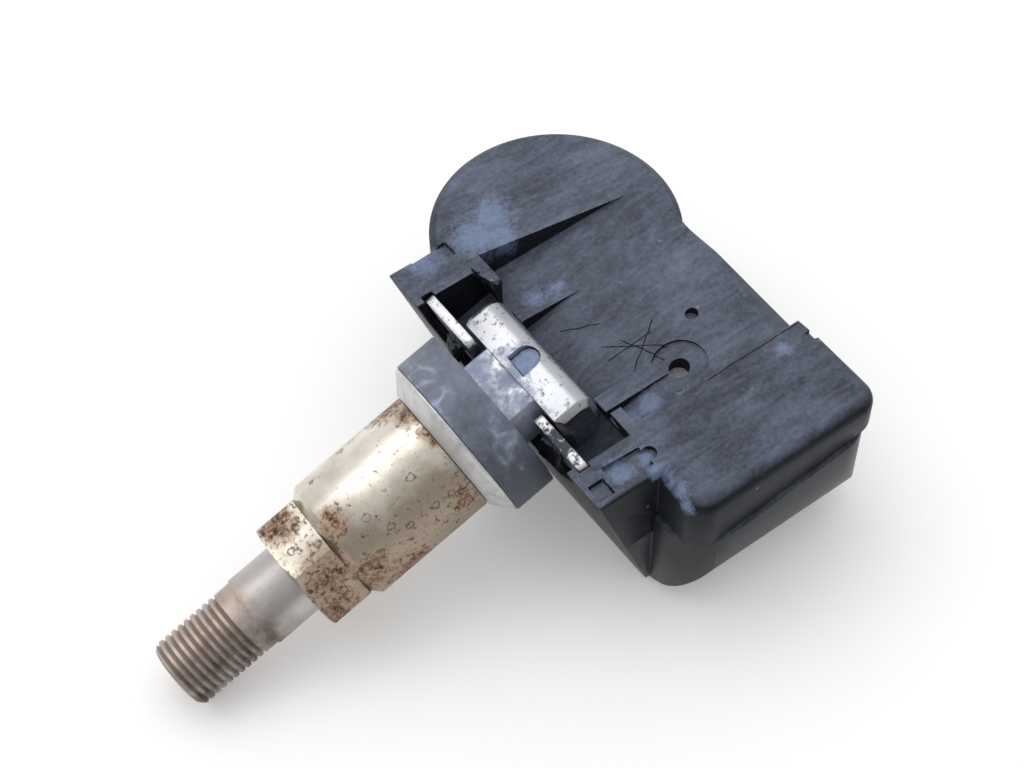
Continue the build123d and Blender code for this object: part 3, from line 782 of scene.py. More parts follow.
@dataclass(frozen=True)
class CorrodedNickel(Finish):
    """Nickel-plated brass: ivory and glossy, with brown specks and rings where damp got in.

    Attributes:
        plate: Colour of the sound plating.
        haze: Colour of the dulled plating.
        tan: Colour of the stain round the crust.
        rust: Colour of the brown crust.
        pit: Colour of the darkest rings and pits.
        fleck: Size of the pits in millimetres.
        cloud: Size of the hazy patches.
        speck: Size of the crust's specks.
        blister: Spacing of the blister rings.
        ring: Radius of a ring as a share of that spacing.
        bend: Length of the bends in a ring.
        sway: How far a ring bends.
        block_side: Where the side towards the block starts to dull and where it is dullest.
        hexagon: Where the hexagon's stain begins, along the stem, and where it is full.
        ragged: How far the outline of the crust wanders.
        spots: Where the crust lies, in the stem's frame.
    """

    plate: str = "#e4ded2"
    haze: str = "#a3998c"
    tan: str = "#b8a08a"
    rust: str = "#80583d"
    pit: str = "#3f2f27"
    fleck: float = 0.7
    cloud: float = 4.5
    speck: float = 0.42
    blister: float = 1.35
    ring: float = 0.3
    bend: float = 0.55
    sway: float = 0.95
    block_side: Pair = (0.5, -6.6)
    hexagon: Pair = (25.8, 27.4)
    ragged: float = 1.8
    spots: tuple[Spot, ...] = ()

    def paint(self, tree: bpy.types.NodeTree, shader: bpy.types.Node) -> None:
        """Draws glossy plating with haze, brown crust, blister rings and fine pits.

        Args:
            tree: Node tree of the material.
            shader: Its Principled shader.
        """
        place = place_mm(tree, Axis.STEM)
        split = add(tree, Node.SPLIT, place)
        fleck = add(tree, Node.NOISE, place, scale=1 / self.fleck, detail=9.0, roughness=0.72)
        cloud = add(tree, Node.NOISE, place, scale=1 / self.cloud, detail=6.0)
        # haze: dulled plating, most of it on the side towards the block
        block_side = add(tree, Node.RANGE, split.outputs["Y"], *self.block_side, to_max=0.42)
        dimmed = add(tree, Node.MULTIPLY_ADD, block_side, 0.9, cloud)
        hazed = add(tree, Node.RANGE, dimmed, from_min=0.42, from_max=0.78)
        base = add(tree, Node.BLEND, hazed, a=self.plate, b=self.haze)
        # stain: thin brown film, thickest in the patches and on the hexagon
        density = spots_mask(tree, place, self.spots, self.ragged)
        hexagon = add(tree, Node.RANGE, split.outputs["Z"], *self.hexagon, to_max=0.3)
        spread = add(tree, Node.MAXIMUM, hexagon, block_side)
        cover = add(tree, Node.MAXIMUM, density, spread)
        thick = add(tree, Node.MULTIPLY_ADD, fleck, 0.8, cover)
        stain = add(tree, Node.RANGE, thick, from_min=0.55, from_max=1.15, to_max=0.85)
        stained = add(tree, Node.BLEND, stain, a=base, b=self.tan)
        # crust: small specks that run together where the stain is thick
        specks = add(tree, Node.NOISE, place, scale=1 / self.speck, detail=7.0, roughness=0.66)
        speckled = add(tree, Node.MULTIPLY_ADD, cover, 0.26, specks)
        crust = add(tree, Node.RANGE, speckled, from_min=0.66, from_max=0.82, to_max=0.85)
        crusted = add(tree, Node.BLEND, crust, a=stained, b=self.rust)
        # blisters: broken rings about 0.8 mm across, close together where the stain is thick
        bent = add(tree, Node.NOISE, place, scale=1 / self.bend, detail=4.0, roughness=0.6)
        uneven = add(tree, Node.VECTOR_MULTIPLY_ADD, bent.outputs["Color"], (self.sway,) * 3, place)
        cells = add(tree, Node.CELLS, uneven, scale=1 / self.blister)
        off_ring = add(tree, Node.SUBTRACT, cells.outputs["Distance"], self.ring)
        ring_gap = add(tree, Node.ABSOLUTE, off_ring)
        ring = add(tree, Node.RANGE, ring_gap, from_min=0.16, from_max=0.02)
        chance = add(tree, Node.SPLIT, cells.outputs["Color"]).outputs["X"]
        likely = add(tree, Node.MULTIPLY_ADD, cover, 0.45, chance)
        chosen = add(tree, Node.RANGE, likely, from_min=0.74, from_max=0.9)
        rings = add(tree, Node.MULTIPLY, ring, chosen)
        gapped = add(tree, Node.MULTIPLY, rings, fleck)
        blister = add(tree, Node.RANGE, gapped, from_min=0.26, from_max=0.56, to_max=0.85)
        # pits: fine dark dots all over
        dotted = add(tree, Node.MULTIPLY_ADD, cover, 0.1, fleck)
        dots = add(tree, Node.RANGE, dotted, from_min=0.61, from_max=0.7)
        dark = add(tree, Node.MAXIMUM, blister, dots)
        colour = add(tree, Node.BLEND, dark, a=crusted, b=self.pit)
        half_stain = add(tree, Node.MULTIPLY, stain, 0.6)
        crust_dark = add(tree, Node.MAXIMUM, crust, dark)
        spoilt = add(tree, Node.MAXIMUM, half_stain, crust_dark)
        metal = add(tree, Node.RANGE, spoilt, to_min=1.0, to_max=0.1)
        dulled = add(tree, Node.RANGE, hazed, to_min=0.27, to_max=0.42)
        rough = add(tree, Node.FADE, spoilt, a=dulled, b=0.75)
        raised = add(tree, Node.SUBTRACT, crust, dark)
        bump = add(tree, Node.BUMP, height=raised, strength=0.45, distance=0.06 * MM)
        feed(tree, shader, base_color=colour, metallic=metal, roughness=rough, normal=bump)


@dataclass(frozen=True)
class SolderMask(Finish):
    """Glass-fibre board under green solder mask, with copper tracks showing faintly through.

    Attributes:
        mask: Colour over bare board.
        track: Colour over copper.
        pitch: Spacing of the tracks in millimetres.
        track_width: Width of a track.
        cloud: Size of the uneven patches in the lacquer.
    """

    mask: str = "#14492a"
    track: str = "#2a6b3f"
    pitch: float = 1.3
    track_width: float = 0.14
    cloud: float = 2.0

    def paint(self, tree: bpy.types.NodeTree, shader: bpy.types.Node) -> None:
        """Draws the tracks as a broken grid under glossy lacquer.

        Args:
            tree: Node tree of the material.
            shader: Its Principled shader.
        """
        place = place_mm(tree, Axis.MODEL)
        grid = add(
            tree,
            Node.BRICKS,
            place,
            color1=self.mask,
            color2=self.mask,
            mortar=self.track,
            scale=1.0,
            mortar_size=self.track_width,
            brick_width=4 * self.pitch,
            row_height=self.pitch,
        )
        cloud = add(tree, Node.NOISE, place, scale=1 / self.cloud, detail=4.0)
        rough = add(tree, Node.RANGE, cloud, to_min=0.22, to_max=0.42)
        bump = add(
            tree, Node.BUMP, height=grid.outputs["Fac"], strength=0.3, distance=0.03 * MM
        )
        feed(tree, shader, base_color=grid.outputs["Color"], roughness=rough, normal=bump)


@contextmanager
def edit_mode() -> Iterator[None]:
    """Keeps the active piece in edit mode for a block of operators."""
    bpy.ops.object.mode_set(mode="EDIT")
    yield
    bpy.ops.object.mode_set(mode="OBJECT")


def deselect_parts() -> None:
    """Deselects every vertex, edge and face of the active piece."""
    with edit_mode():
        bpy.ops.mesh.select_all(action="DESELECT")


def face_outwards() -> None:
    """Turns every face of the piece in edit mode outwards."""
    bpy.ops.mesh.select_all(action="SELECT")
    bpy.ops.mesh.normals_make_consistent(inside=False)


def only(piece: bpy.types.Object) -> None:
    """Selects this piece and nothing else, and makes it active.

    Args:
        piece: The object that operators are to act on.
    """
    bpy.ops.object.select_all(action="DESELECT")
    piece.select_set(True)
    bpy.context.view_layer.objects.active = piece


def dress(piece: bpy.types.Object, finish: Finish) -> None:
    """Gives a piece one finish all over.

    Args:
        piece: The object.
        finish: Its finish.
    """
    piece.data.materials.clear()
    piece.data.materials.append(finish.material())
    for face in piece.data.polygons:
        face.material_index = 0


def dress_nodes(looks: Mapping[str, Finish]) -> list[bpy.types.Object]:
    """Dresses CAD nodes where they are.

    Args:
        looks: Finish of each node.

    Returns:
        The dressed nodes.
    """
    for node, finish in looks.items():
        dress(frame["nodes"][node], finish)
    return [frame["nodes"][node] for node in looks]


def joined_copy(
    node: str, name: str, same_place: float = 0.0005, flat: float = 0.5
) -> bpy.types.Object:
    """Copies a CAD node as one closed mesh with as few faces as its shape needs.

    Args:
        node: The CAD node.
        name: Name of the copy.
        same_place: Corners closer than this, in millimetres, become one.
        flat: Faces that turn by fewer degrees than this become one.

    Returns:
        The copy, in the node's place.
    """
    piece = bpy.data.objects.new(name, frame["nodes"][node].data.copy())
    bpy.context.scene.collection.objects.link(piece)
    only(piece)
    bpy.ops.mesh.customdata_custom_splitnormals_clear()
    with edit_mode():
        bpy.ops.mesh.select_all(action="SELECT")
        bpy.ops.mesh.remove_doubles(threshold=same_place * MM)
        bpy.ops.mesh.dissolve_limited(angle_limit=radians(flat))
    return piece


def smooth_runs(mesh: bpy.types.Mesh, sharp: set[Ends], corner: float = 25.0) -> dict[Ends, int]:
    """Numbers the runs of sharp edges that follow each other without a corner.

    Args:
        mesh: The mesh.
        sharp: Its sharp edges, by the vertices at their ends.
        corner: Turn in degrees that ends a run.

    Returns:
        Number of the run that each sharp edge is in.
    """
    meeting: dict[int, list[Ends]] = {}
    for edge in sorted(sharp):
        for end in edge:
            meeting.setdefault(end, []).append(edge)
    points = [vertex.co for vertex in mesh.vertices]
    runs: dict[Ends, int] = {}
    for number, start in enumerate(sorted(sharp)):
        waiting = [start]
        while waiting:
            edge = waiting.pop()
            if edge in runs:
                continue
            runs[edge] = number
            for end in edge:
                others = [other for other in meeting[end] if other != edge]
                if len(others) != 1:
                    continue
                behind = points[end] - points[sum(edge) - end]
                ahead = points[sum(others[0]) - end] - points[end]
                if behind.angle(ahead) < radians(corner):
                    waiting.append(others[0])
    return runs


def cramped_edges(
    mesh: bpy.types.Mesh, sharp: set[Ends], width: float, flat: float = 2.0, room: float = 0.95
) -> set[Ends]:
    """Finds sharp edges whose rounding would run past the end of an edge beside them.

    Args:
        mesh: The mesh.
        sharp: The edges to be rounded, by the vertices at their ends.
        width: Width of the rounding in metres.
        flat: A corner within this many degrees of straight takes nothing from its sides.
        room: Share of a side that rounding may take.

    Returns:
        The sharp edges that have no room.
    """
    cramped: set[Ends] = set()
    for face in mesh.polygons:
        corners = list(face.vertices)
        following = corners[1:] + corners[:1]
        points = [mesh.vertices[corner].co for corner in corners]
        sides = [tuple(sorted(ends)) for ends in zip(corners, following)]
        taken = [0.0] * len(sides)
        takers: list[set[Ends]] = [set() for _ in sides]
        for i, point in enumerate(points):
            rounded = {sides[i - 1], sides[i]} & sharp
            if not rounded:
                continue
            before = points[i - 1] - point
            after = points[i - len(points) + 1] - point
            angle = atan2(face.normal.dot(after.cross(before)), after.dot(before)) % (2 * pi)
            straight = abs(angle - pi) < radians(flat)
            for side in (i - 1, i):
                if straight:
                    reach = 0.0
                elif len(rounded) == 2:
                    reach = width / tan(angle / 2)
                elif sides[side] in sharp:
                    reach = width / tan(angle)
                else:
                    reach = width / sin(angle)
                taken[side] += max(reach, 0.0)
                takers[side] |= rounded
        for i, point in enumerate(points):
            length = (point - points[i - len(points) + 1]).length
            if taken[i] > room * length:
                cramped |= takers[i]
    return cramped


def soften(
    piece: bpy.types.Object,
    width: float,
    stays_sharp: Callable[[Vector], bool] = lambda middle: False,
    sharper_than: float = 28.0,
    same_place: float = 0.001,
) -> None:
    """Rounds the sharp edges of a piece where there is room, and shades it smooth.

    Args:
        piece: The object.
        width: Width of the rounding in millimetres.
        stays_sharp: Tells from an edge's middle, in millimetres, whether to leave it alone.
        sharper_than: Edges that turn by more degrees than this are rounded.
        same_place: Corners closer than this, in millimetres, become one.
    """
    only(piece)
    with edit_mode():
        bpy.ops.mesh.select_mode(type="EDGE")
        bpy.ops.mesh.select_all(action="DESELECT")
        bpy.ops.mesh.edges_select_sharp(sharpness=radians(sharper_than))
    mesh = piece.data
    sharp: set[Ends] = set()
    for edge in mesh.edges:
        middle = sum((mesh.vertices[end].co for end in edge.vertices), Vector()) / 2
        if edge.select and not stays_sharp(middle / MM):
            sharp.add(edge.key)
    runs = smooth_runs(mesh, sharp)
    cramped = cramped_edges(mesh, sharp, width * MM)
    while cramped:
        given_up = {runs[edge] for edge in cramped}
        sharp = {edge for edge in sharp if runs[edge] not in given_up}
        cramped = cramped_edges(mesh, sharp, width * MM)
    deselect_parts()
    for edge in mesh.edges:
        edge.select = edge.key in sharp
    with edit_mode():
        bpy.ops.mesh.bevel(offset=width * MM, segments=2, affect="EDGES", clamp_overlap=False)
        bpy.ops.mesh.select_all(action="SELECT")
        bpy.ops.mesh.remove_doubles(threshold=same_place * MM)
    bpy.ops.object.shade_smooth_by_angle(angle=radians(sharper_than))


def stand_for(piece: bpy.types.Object, node: str, body: str) -> None:
    """Lets a piece take the place of a CAD node.

    Args:
        piece: The object.
        node: The CAD node that it replaces.
        body: The body that it rides on.
    """
    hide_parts(node)
    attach(piece, body)


@dataclass(frozen=True)
class Lumps:
    """How a plain solid is turned into a torn or dried lump.

    Attributes:
        face: Size of its new faces in millimetres.
        size: Size of the lumps in millimetres.
        depth: How far they reach in and out, in millimetres.
        sunk: Share of the depth that reaches in.
    """

    face: float
    size: float
    depth: float
    sunk: float = 0.9

    def shape(self, piece: bpy.types.Object) -> None:
        """Gives a closed solid even faces and sinks lumps into them.

        Args:
            piece: The solid.
        """
        only(piece)
        remesh = piece.modifiers.new("even faces", "REMESH")
        remesh.mode = "VOXEL"
        remesh.voxel_size = self.face * MM
        bpy.ops.object.modifier_apply(modifier=remesh.name)
        clouds = bpy.data.textures.new("lumps", "CLOUDS")
        clouds.noise_scale = self.size * MM
        clouds.noise_depth = 3
        sink = piece.modifiers.new("lumps", "DISPLACE")
        sink.texture = clouds
        sink.texture_coords = "LOCAL"
        sink.strength = self.depth * MM
        sink.mid_level = self.sunk
        bpy.ops.object.modifier_apply(modifier=sink.name)
        bpy.ops.object.shade_smooth()


@dataclass(frozen=True)
class Burr:
    """A lump of torn plastic.

    Attributes:
        middle: Its middle in millimetres.
        halves: Half of its length, width and height in millimetres.
        turn: Turn about the vertical in degrees.
        tilt: How far its top leans away from the valve, in degrees.
        blunt: Rounding of its edges as a share of its halves.
    """

    middle: Triple
    halves: Triple
    turn: float
    tilt: float = 8.0
    blunt: float = 0.5


@dataclass
class SensorShell:
    """Moulded housing and the tray that closes it from below.

    Attributes:
        edge: Rounding of the moulded edges in millimetres.
        tight: Where edges are too close together to be rounded.
        paste: Where brake-dust paste has dried on the housing.
        scratch_and_shade_lines: Scratches on the floor of the valley, and a painted shade line in the
            crease at the block's foot.
        burrs: Torn plastic beside the fork's slots and the head's pocket.
        torn: Surface of the torn plastic.
        port_radius: Radius of the disc in the air port.
        membrane_at: Its middle.
        membrane_thickness: Its thickness.
        membrane_rims: Widths of the two rings that dish its top.
        membrane_slope: How deep a ring goes for its width.
        membrane_turn: Edges that turn by fewer degrees than this are shaded smooth.
    """

    edge: float = 0.14
    tight: tuple[Spot, ...] = (
        Spot((12.35, -12.9, 20.4), 1.1),
        Spot((-10.8, 14.3, 19.5), 2.6),
        Spot((-3.9, -6.0, 17.8), 3.6),
    )
    paste: tuple[Spot, ...] = (
        Spot((-4.4, 17.8, 20.4), 3.4),
        Spot((-7.4, 16.6, 20.4), 3.8),
        Spot((-5.2, 15.0, 20.4), 2.8),
        Spot((-13.8, 17.2, 20.2), 3.0),
        Spot((-6.0, 8.2, 17.6), 2.2),
        Spot((-3.4, 7.7, 18.0), 1.6),
        Spot((-4.8, -9.6, 17.3), 2.2),
        Spot((-7.0, -9.6, 17.0), 1.8),
        Spot((-1.4, -11.4, 18.4), 1.5),
        Spot((-13.4, -15.5, 19.8), 2.3),
        Spot((-10.2, -15.5, 20.0), 1.3),
        Spot((-10.4, -17.8, 20.3), 1.6),
        Spot((-10.3, -19.2, 20.2), 1.7),
        Spot((-10.3, -20.6, 19.8), 1.6),
        Spot((-10.4, -21.9, 19.0), 1.5),
        Spot((8.6, -13.8, 20.4), 1.3),
    )
    scratch_and_shade_lines: tuple[StraightMark, ...] = (
        StraightMark((-4.1, -0.9), (0.8, -5.3)),
        StraightMark((1.5, -2.0), (-3.4, -5.3)),
        StraightMark((-2.3, -1.5), (-0.3, -6.3)),
        StraightMark((0.6, -3.0), (-4.6, -2.6)),
        StraightMark((-6.2, 3.5), (-2.6, 1.4)),
        # painted shade line in the crease where the block rises from the valley
        StraightMark((0.4, -12.15), (12.2, -12.15)),
    )
    burrs: tuple[Burr, ...] = (
        Burr((-9.6, 11.7, 20.25), (0.75, 1.9, 0.65), 12.0),
        Burr((-15.75, 8.7, 16.3), (0.6, 1.5, 1.5), -8.0),
        Burr((-15.75, -7.7, 16.4), (0.6, 1.6, 1.4), 10.0),
    )
    torn: Lumps = Lumps(face=0.1, size=0.55, depth=0.4)
    port_radius: float = 1.08
    membrane_at: Triple = (0.1, -8.2, 16.35)
    membrane_thickness: float = 0.5
    membrane_rims: Pair = (0.12, 0.3)
    membrane_slope: float = 0.2
    membrane_turn: float = 40.0

    def torn_lump(self, burr: Burr) -> bpy.types.Object:
        """Models a lump of plastic that was torn up beside a slot.

        Args:
            burr: Its place and size.

        Returns:
            The lump.
        """
        bpy.ops.object.select_all(action="DESELECT")
        bpy.ops.mesh.primitive_cube_add(size=2.0)
        lump = bpy.context.active_object
        with edit_mode():
            bpy.ops.mesh.select_all(action="SELECT")
            bpy.ops.mesh.bevel(offset=burr.blunt, segments=2, affect="EDGES")
            bpy.ops.mesh.select_all(action="SELECT")
            bpy.ops.transform.resize(value=tuple(half * MM for half in burr.halves))
        lump.location = Vector(burr.middle) * MM
        lump.rotation_euler = (0.0, radians(burr.tilt), radians(burr.turn))
        bpy.ops.object.transform_apply()
        self.torn.shape(lump)
        return lump

    def in_tight_corner(self, middle: Vector) -> bool:
        """Tells whether an edge lies where edges are too close together."""
        return any((middle - Vector(spot.middle)).length < spot.radius for spot in self.tight)

    def port_membrane(self) -> bpy.types.Object:
        """Models the dished grey disc that is seen a little way down the air port.

        Returns:
            The disc, riding on the housing.
        """
        bpy.ops.object.select_all(action="DESELECT")
        bpy.ops.mesh.primitive_cylinder_add(
            vertices=48, radius=self.port_radius * MM, depth=self.membrane_thickness * MM
        )
        disc = bpy.context.active_object
        disc.name = "port_membrane"
        with edit_mode():
            bpy.ops.mesh.select_mode(type="FACE")
            bpy.ops.mesh.select_all(action="DESELECT")
        for face in disc.data.polygons:
            face.select = face.normal.z > 0.5
        with edit_mode():
            for rim in self.membrane_rims:
                bpy.ops.mesh.inset(thickness=rim * MM, depth=-self.membrane_slope * rim * MM)
            face_outwards()
        disc.location = Vector(self.membrane_at) * MM
        bpy.ops.object.transform_apply()
        bpy.ops.object.shade_smooth_by_angle(angle=radians(self.membrane_turn))
        sintered = PlainMoulding(
            "sintered vent disc", "#a9acb4", "#7d8089", roughness=0.55, mottle=0.5, grain=0.08
        )
        dress(disc, sintered)
        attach(disc, "housing")
        return disc

    def build(self) -> list[bpy.types.Object]:
        """Makes and dresses the shell.

        Returns:
            The housing, the tray and the disc in the air port.
        """
        housing = joined_copy("sensor_housing", "housing_shell")
        soften(housing, self.edge, self.in_tight_corner)
        lumps = [self.torn_lump(burr) for burr in self.burrs]
        only(housing)
        for lump in lumps:
            lump.select_set(True)
        bpy.ops.object.join()
        nylon = MouldedNylon(
            "moulded glass-filled nylon", spots=self.paste, scratch_and_shade_lines=self.scratch_and_shade_lines
        )
        dress(housing, nylon)
        stand_for(housing, "sensor_housing", "housing")
        tray = joined_copy("base_tray", "housing_tray")
        soften(tray, self.edge)
        tray_nylon = MouldedNylon(
            "moulded nylon tray", clean="#1b1d21", worn_and_sheen="#2f3239", roughness=0.34, shine=0.36
        )
        dress(tray, tray_nylon)
        stand_for(tray, "base_tray", "housing")
        return [housing, tray, self.port_membrane()]


@dataclass
class SensorElectronics:
    """Board, cell and the small pieces inside the shell."""

    def build(self) -> list[bpy.types.Object]:
        """Dresses the pieces inside the shell.

        Returns:
            The dressed CAD nodes.
        """
        strip = WorkedMetal("stamped nickel strip", "#cfccc4", "#a49d90", lines=(3.0, 0.1, 3.0))
        can = WorkedMetal(
            "drawn nickel-plated can", "#c9c9c6", "#9f9e99", lines=(5.0, 5.0, 0.12), roughness=0.28
        )
        copper = WorkedMetal(
            "rolled copper strip", "#cf9a74", "#8f5f42", lines=(3.0, 3.0, 0.1), tarnish=0.6
        )
        epoxy = PlainMoulding(
            "moulded epoxy", "#26262a", "#1a1a1c", roughness=0.48, mottle=0.8, grain=0.09
        )
        silicone = PlainMoulding(
            "moulded silicone", "#b9b9b4", "#9c9c98", roughness=0.58, mottle=0.9, grain=0.15
        )
        ferrite = PlainMoulding(
            "sintered ferrite", "#4a4746", "#34312f", roughness=0.5, mottle=0.6, grain=0.2
        )
        ceramic = PlainMoulding(
            "fired ceramic", "#b79d83", "#9a8068", roughness=0.4, mottle=0.5, grain=0.1
        )
        return dress_nodes(
            {
                "circuit_board": SolderMask("lacquered glass-fibre board"),
                "coin_cell": can,
                "cell_tab_positive": strip,
                "cell_tab_negative": strip,
                "crystal_can": strip,
                "sensor_chip": epoxy,
                "port_seal": silicone,
                "wake_up_coil": ferrite,
                "loop_antenna": copper,
                "chip_capacitors": ceramic,
            }
        )


@dataclass
class LockingFork:
    """Stamped fork that traps the valve's head in the yoke.

    Attributes:
        edge: Rounding of the stamped edges in millimetres.
    """

    edge: float = 0.1

    def build(self) -> list[bpy.types.Object]:
        """Makes and dresses the fork.

        Returns:
            The fork.
        """
        fork = joined_copy("locking_fork", "stamped_fork")
        soften(fork, self.edge)
        dress(fork, PittedSteel("stamped stainless plate"))
        stand_for(fork, "locking_fork", "housing")
        return [fork]


@dataclass
class ThreadedStem:
    """Valve stem with its cut cap thread, and the rubber grommet on it.

    Attributes:
        edge: Rounding of the turned edges in millimetres.
        pitch: Pitch of the cap thread in millimetres.
        tool_width: Width of the thread tool's base.
        tool_reach: Radius of the tool's base from the stem's axis.
        root_round: Rounding of the tool's point.
        first_turn: Where the groove begins along the stem.
        start_turn: Where it begins round the stem, in degrees from the top.
        turns: Turns of the groove, past the mouth.
        steps: Straight steps in one turn.
        thread_turn: Edges of the cut stem that turn by fewer degrees are shaded smooth.
        seam: Where flange and grommet meet along the stem.
        outlet_width: Width of the paste in the air outlet.
        outlet_round: Rounding of its round side as a share of its width.
        paste_floor: Height of its underside above the stem's axis.
        paste_top: Height of its top.
        dried: Surface of the paste.
    """

    edge: float = 0.1
    pitch: float = 0.794
    tool_width: float = 0.56
    tool_reach: float = 3.92
    root_round: float = 0.12
    first_turn: float = 38.6
    start_turn: float = 150.0
    turns: int = 12
    steps: int = 72
    thread_turn: float = 28.0
    seam: float = 7.3
    outlet_width: float = 2.84
    outlet_round: float = 0.49
    paste_floor: float = 1.25
    paste_top: float = 2.95
    dried: Lumps = Lumps(face=0.1, size=0.5, depth=0.35)

    def thread_tool(self) -> bpy.types.Object:
        """Models the coil that the thread tool sweeps out.

        Returns:
            A closed coil in the stem's place.
        """
        circle = self.tool_width / 3 ** 0.5
        middle = self.tool_reach - circle / 2
        turned = Matrix.Rotation(pi / 2, 3, "X") @ Matrix.Rotation(pi / 2, 3, "Z")
        bpy.ops.object.select_all(action="DESELECT")
        bpy.ops.mesh.primitive_circle_add(
            vertices=3,
            radius=circle * MM,
            fill_type="NOTHING",
            location=(middle * MM, 0.0, self.first_turn * MM),
            rotation=tuple(turned.to_euler()),
        )
        tool = bpy.context.active_object
        bpy.ops.object.transform_apply()
        deselect_parts()
        point = min(tool.data.vertices, key=lambda vertex: vertex.co.x)
        point.select = True
        with edit_mode():
            bpy.ops.mesh.bevel(affect="VERTICES", offset=self.root_round * MM, segments=2)
        sweep = tool.modifiers.new("thread sweep", "SCREW")
        sweep.angle = 2 * pi
        sweep.screw_offset = self.pitch * MM
        sweep.iterations = self.turns
        sweep.steps = self.steps
        sweep.render_steps = self.steps
        bpy.ops.object.modifier_apply(modifier=sweep.name)
        with edit_mode():
            bpy.ops.mesh.select_mode(type="EDGE")
            bpy.ops.mesh.select_all(action="DESELECT")
            bpy.ops.mesh.select_non_manifold()
            bpy.ops.mesh.fill_holes(sides=0)
            face_outwards()
        tool.matrix_world = stem_matrix() @ Matrix.Rotation(radians(self.start_turn), 4, "Z")
        bpy.ops.object.transform_apply()
        return tool

    def on_seam(self, middle: Vector) -> bool:
        """Tells whether an edge lies where flange and grommet meet."""
        return at_station(middle, self.seam)

    def outlet_paste(self) -> bpy.types.Object:
        """Models the dried paste that fills the D-shaped air outlet in the head.

        Returns:
            The paste, riding on the valve.
        """
        bpy.ops.object.select_all(action="DESELECT")
        bpy.ops.mesh.primitive_plane_add(size=self.outlet_width * MM)
        paste = bpy.context.active_object
        paste.name = "outlet_paste"
        with edit_mode():
            bpy.ops.mesh.select_mode(type="VERT")
            bpy.ops.mesh.select_all(action="DESELECT")
        for corner in paste.data.vertices:
            corner.select = corner.co.x > 0
        with edit_mode():
            bpy.ops.mesh.bevel(
                affect="VERTICES", offset=self.outlet_round * self.outlet_width * MM, segments=8
            )
            bpy.ops.mesh.select_all(action="SELECT")
            bpy.ops.mesh.extrude_region_move(
                TRANSFORM_OT_translate={"value": (0.0, 0.0, (self.paste_top - self.paste_floor) * MM)}
            )
            face_outwards()
        self.dried.shape(paste)
        # laid in the stem with its top up and its round side away from the mouth
        lying = Matrix(((0, 0, 1, 0), (0, 1, 0, 0), (-1, 0, 0, 0), (0, 0, 0, 1)))
        lifted = Matrix.Translation((0, 0, self.paste_floor * MM))
        paste.matrix_world = stem_matrix() @ lying @ lifted
        bpy.ops.object.transform_apply()
        brake_dust = PlainMoulding(
            "dried brake-dust paste", "#9fb0d0", "#6f7f9f", roughness=0.8, mottle=0.5, grain=0.12
        )
        dress(paste, brake_dust)
        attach(paste, "valve")
        return paste

    def build(self) -> list[bpy.types.Object]:
        """Makes and dresses the stem, the grommet and the paste in the air outlet.

        Returns:
            The stem, the grommet and the paste.
        """
        stem = joined_copy("valve_stem", "threaded_stem")
        soften(stem, self.edge, self.on_seam)
        tool = self.thread_tool()
        only(stem)
        cut = stem.modifiers.new("cap thread", "BOOLEAN")
        cut.operation = "DIFFERENCE"
        cut.solver = "EXACT"
        cut.object = tool
        bpy.ops.object.modifier_apply(modifier=cut.name)
        bpy.data.objects.remove(tool)
        bpy.ops.object.shade_smooth_by_angle(angle=radians(self.thread_turn))
        dress(stem, StemAluminium("turned aluminium, oxidised"))
        stand_for(stem, "valve_stem", "valve")
        grommet = joined_copy("sealing_grommet", "rubber_grommet")
        soften(grommet, self.edge, self.on_seam)
        dress(grommet, BloomedRubber("moulded rubber, bloomed"))
        stand_for(grommet, "sealing_grommet", "valve")
        return [stem, grommet, self.outlet_paste()]


@dataclass
class ClampNut:
    """Collar nut with its hexagon, and the cone washer under it.

    Attributes:
        edge: Rounding of the nut's edges in millimetres.
        washer_edge: Rounding of the washer's edges.
        shoulder: Where the hexagon starts along the stem.
        crust: Where brown crust lies on the nut, in the stem's frame.
    """

    edge: float = 0.12
    washer_edge: float = 0.06
    shoulder: float = 26.8
    crust: tuple[Spot, ...] = (
        Spot((4.2, 5.4, 13.2), 4.2),
        Spot((6.2, 2.4, 12.4), 2.6),
        Spot((6.6, -1.4, 12.2), 1.6),
        Spot((2.0, 6.0, 29.0), 4.4),
        Spot((5.4, 2.2, 29.4), 3.4),
        Spot((3.6, -4.2, 28.6), 4.4),
        Spot((0.4, -6.0, 30.0), 4.2),
        Spot((6.4, -1.6, 25.0), 2.4),
        Spot((2.4, -6.4, 25.0), 3.6),
        Spot((-1.2, -6.6, 22.0), 4.6),
        Spot((1.8, -6.4, 13.6), 2.6),
        Spot((-2.6, -5.6, 29.0), 3.6),
        Spot((-6.0, 3.0, 19.0), 4.0),
        Spot((-4.0, 4.6, 28.0), 4.4),
    )

    def on_shoulder(self, middle: Vector) -> bool:
        """Tells whether an edge lies in the plane where the hexagon starts."""
        return at_station(middle, self.shoulder)

    def build(self) -> list[bpy.types.Object]:
        """Makes and dresses the nut and the washer.

        Returns:
            The nut and the washer.
        """
        nut = joined_copy("collar_nut", "plated_nut")
        soften(nut, self.edge, self.on_shoulder)
        dress(nut, CorrodedNickel("nickel-plated brass, corroded", spots=self.crust))
        stand_for(nut, "collar_nut", "nut")
        washer = joined_copy("nut_washer", "cone_washer")
        soften(washer, self.washer_edge)
        turned = WorkedMetal(
            "turned aluminium washer",
            "#cfcfd0",
            "#b4b4b6",
            axis=Axis.STEM,
            lines=(4.0, 4.0, 0.2),
            roughness=0.42,
        )
        dress(washer, turned)
        stand_for(washer, "nut_washer", "washer")
        return [nut, washer]


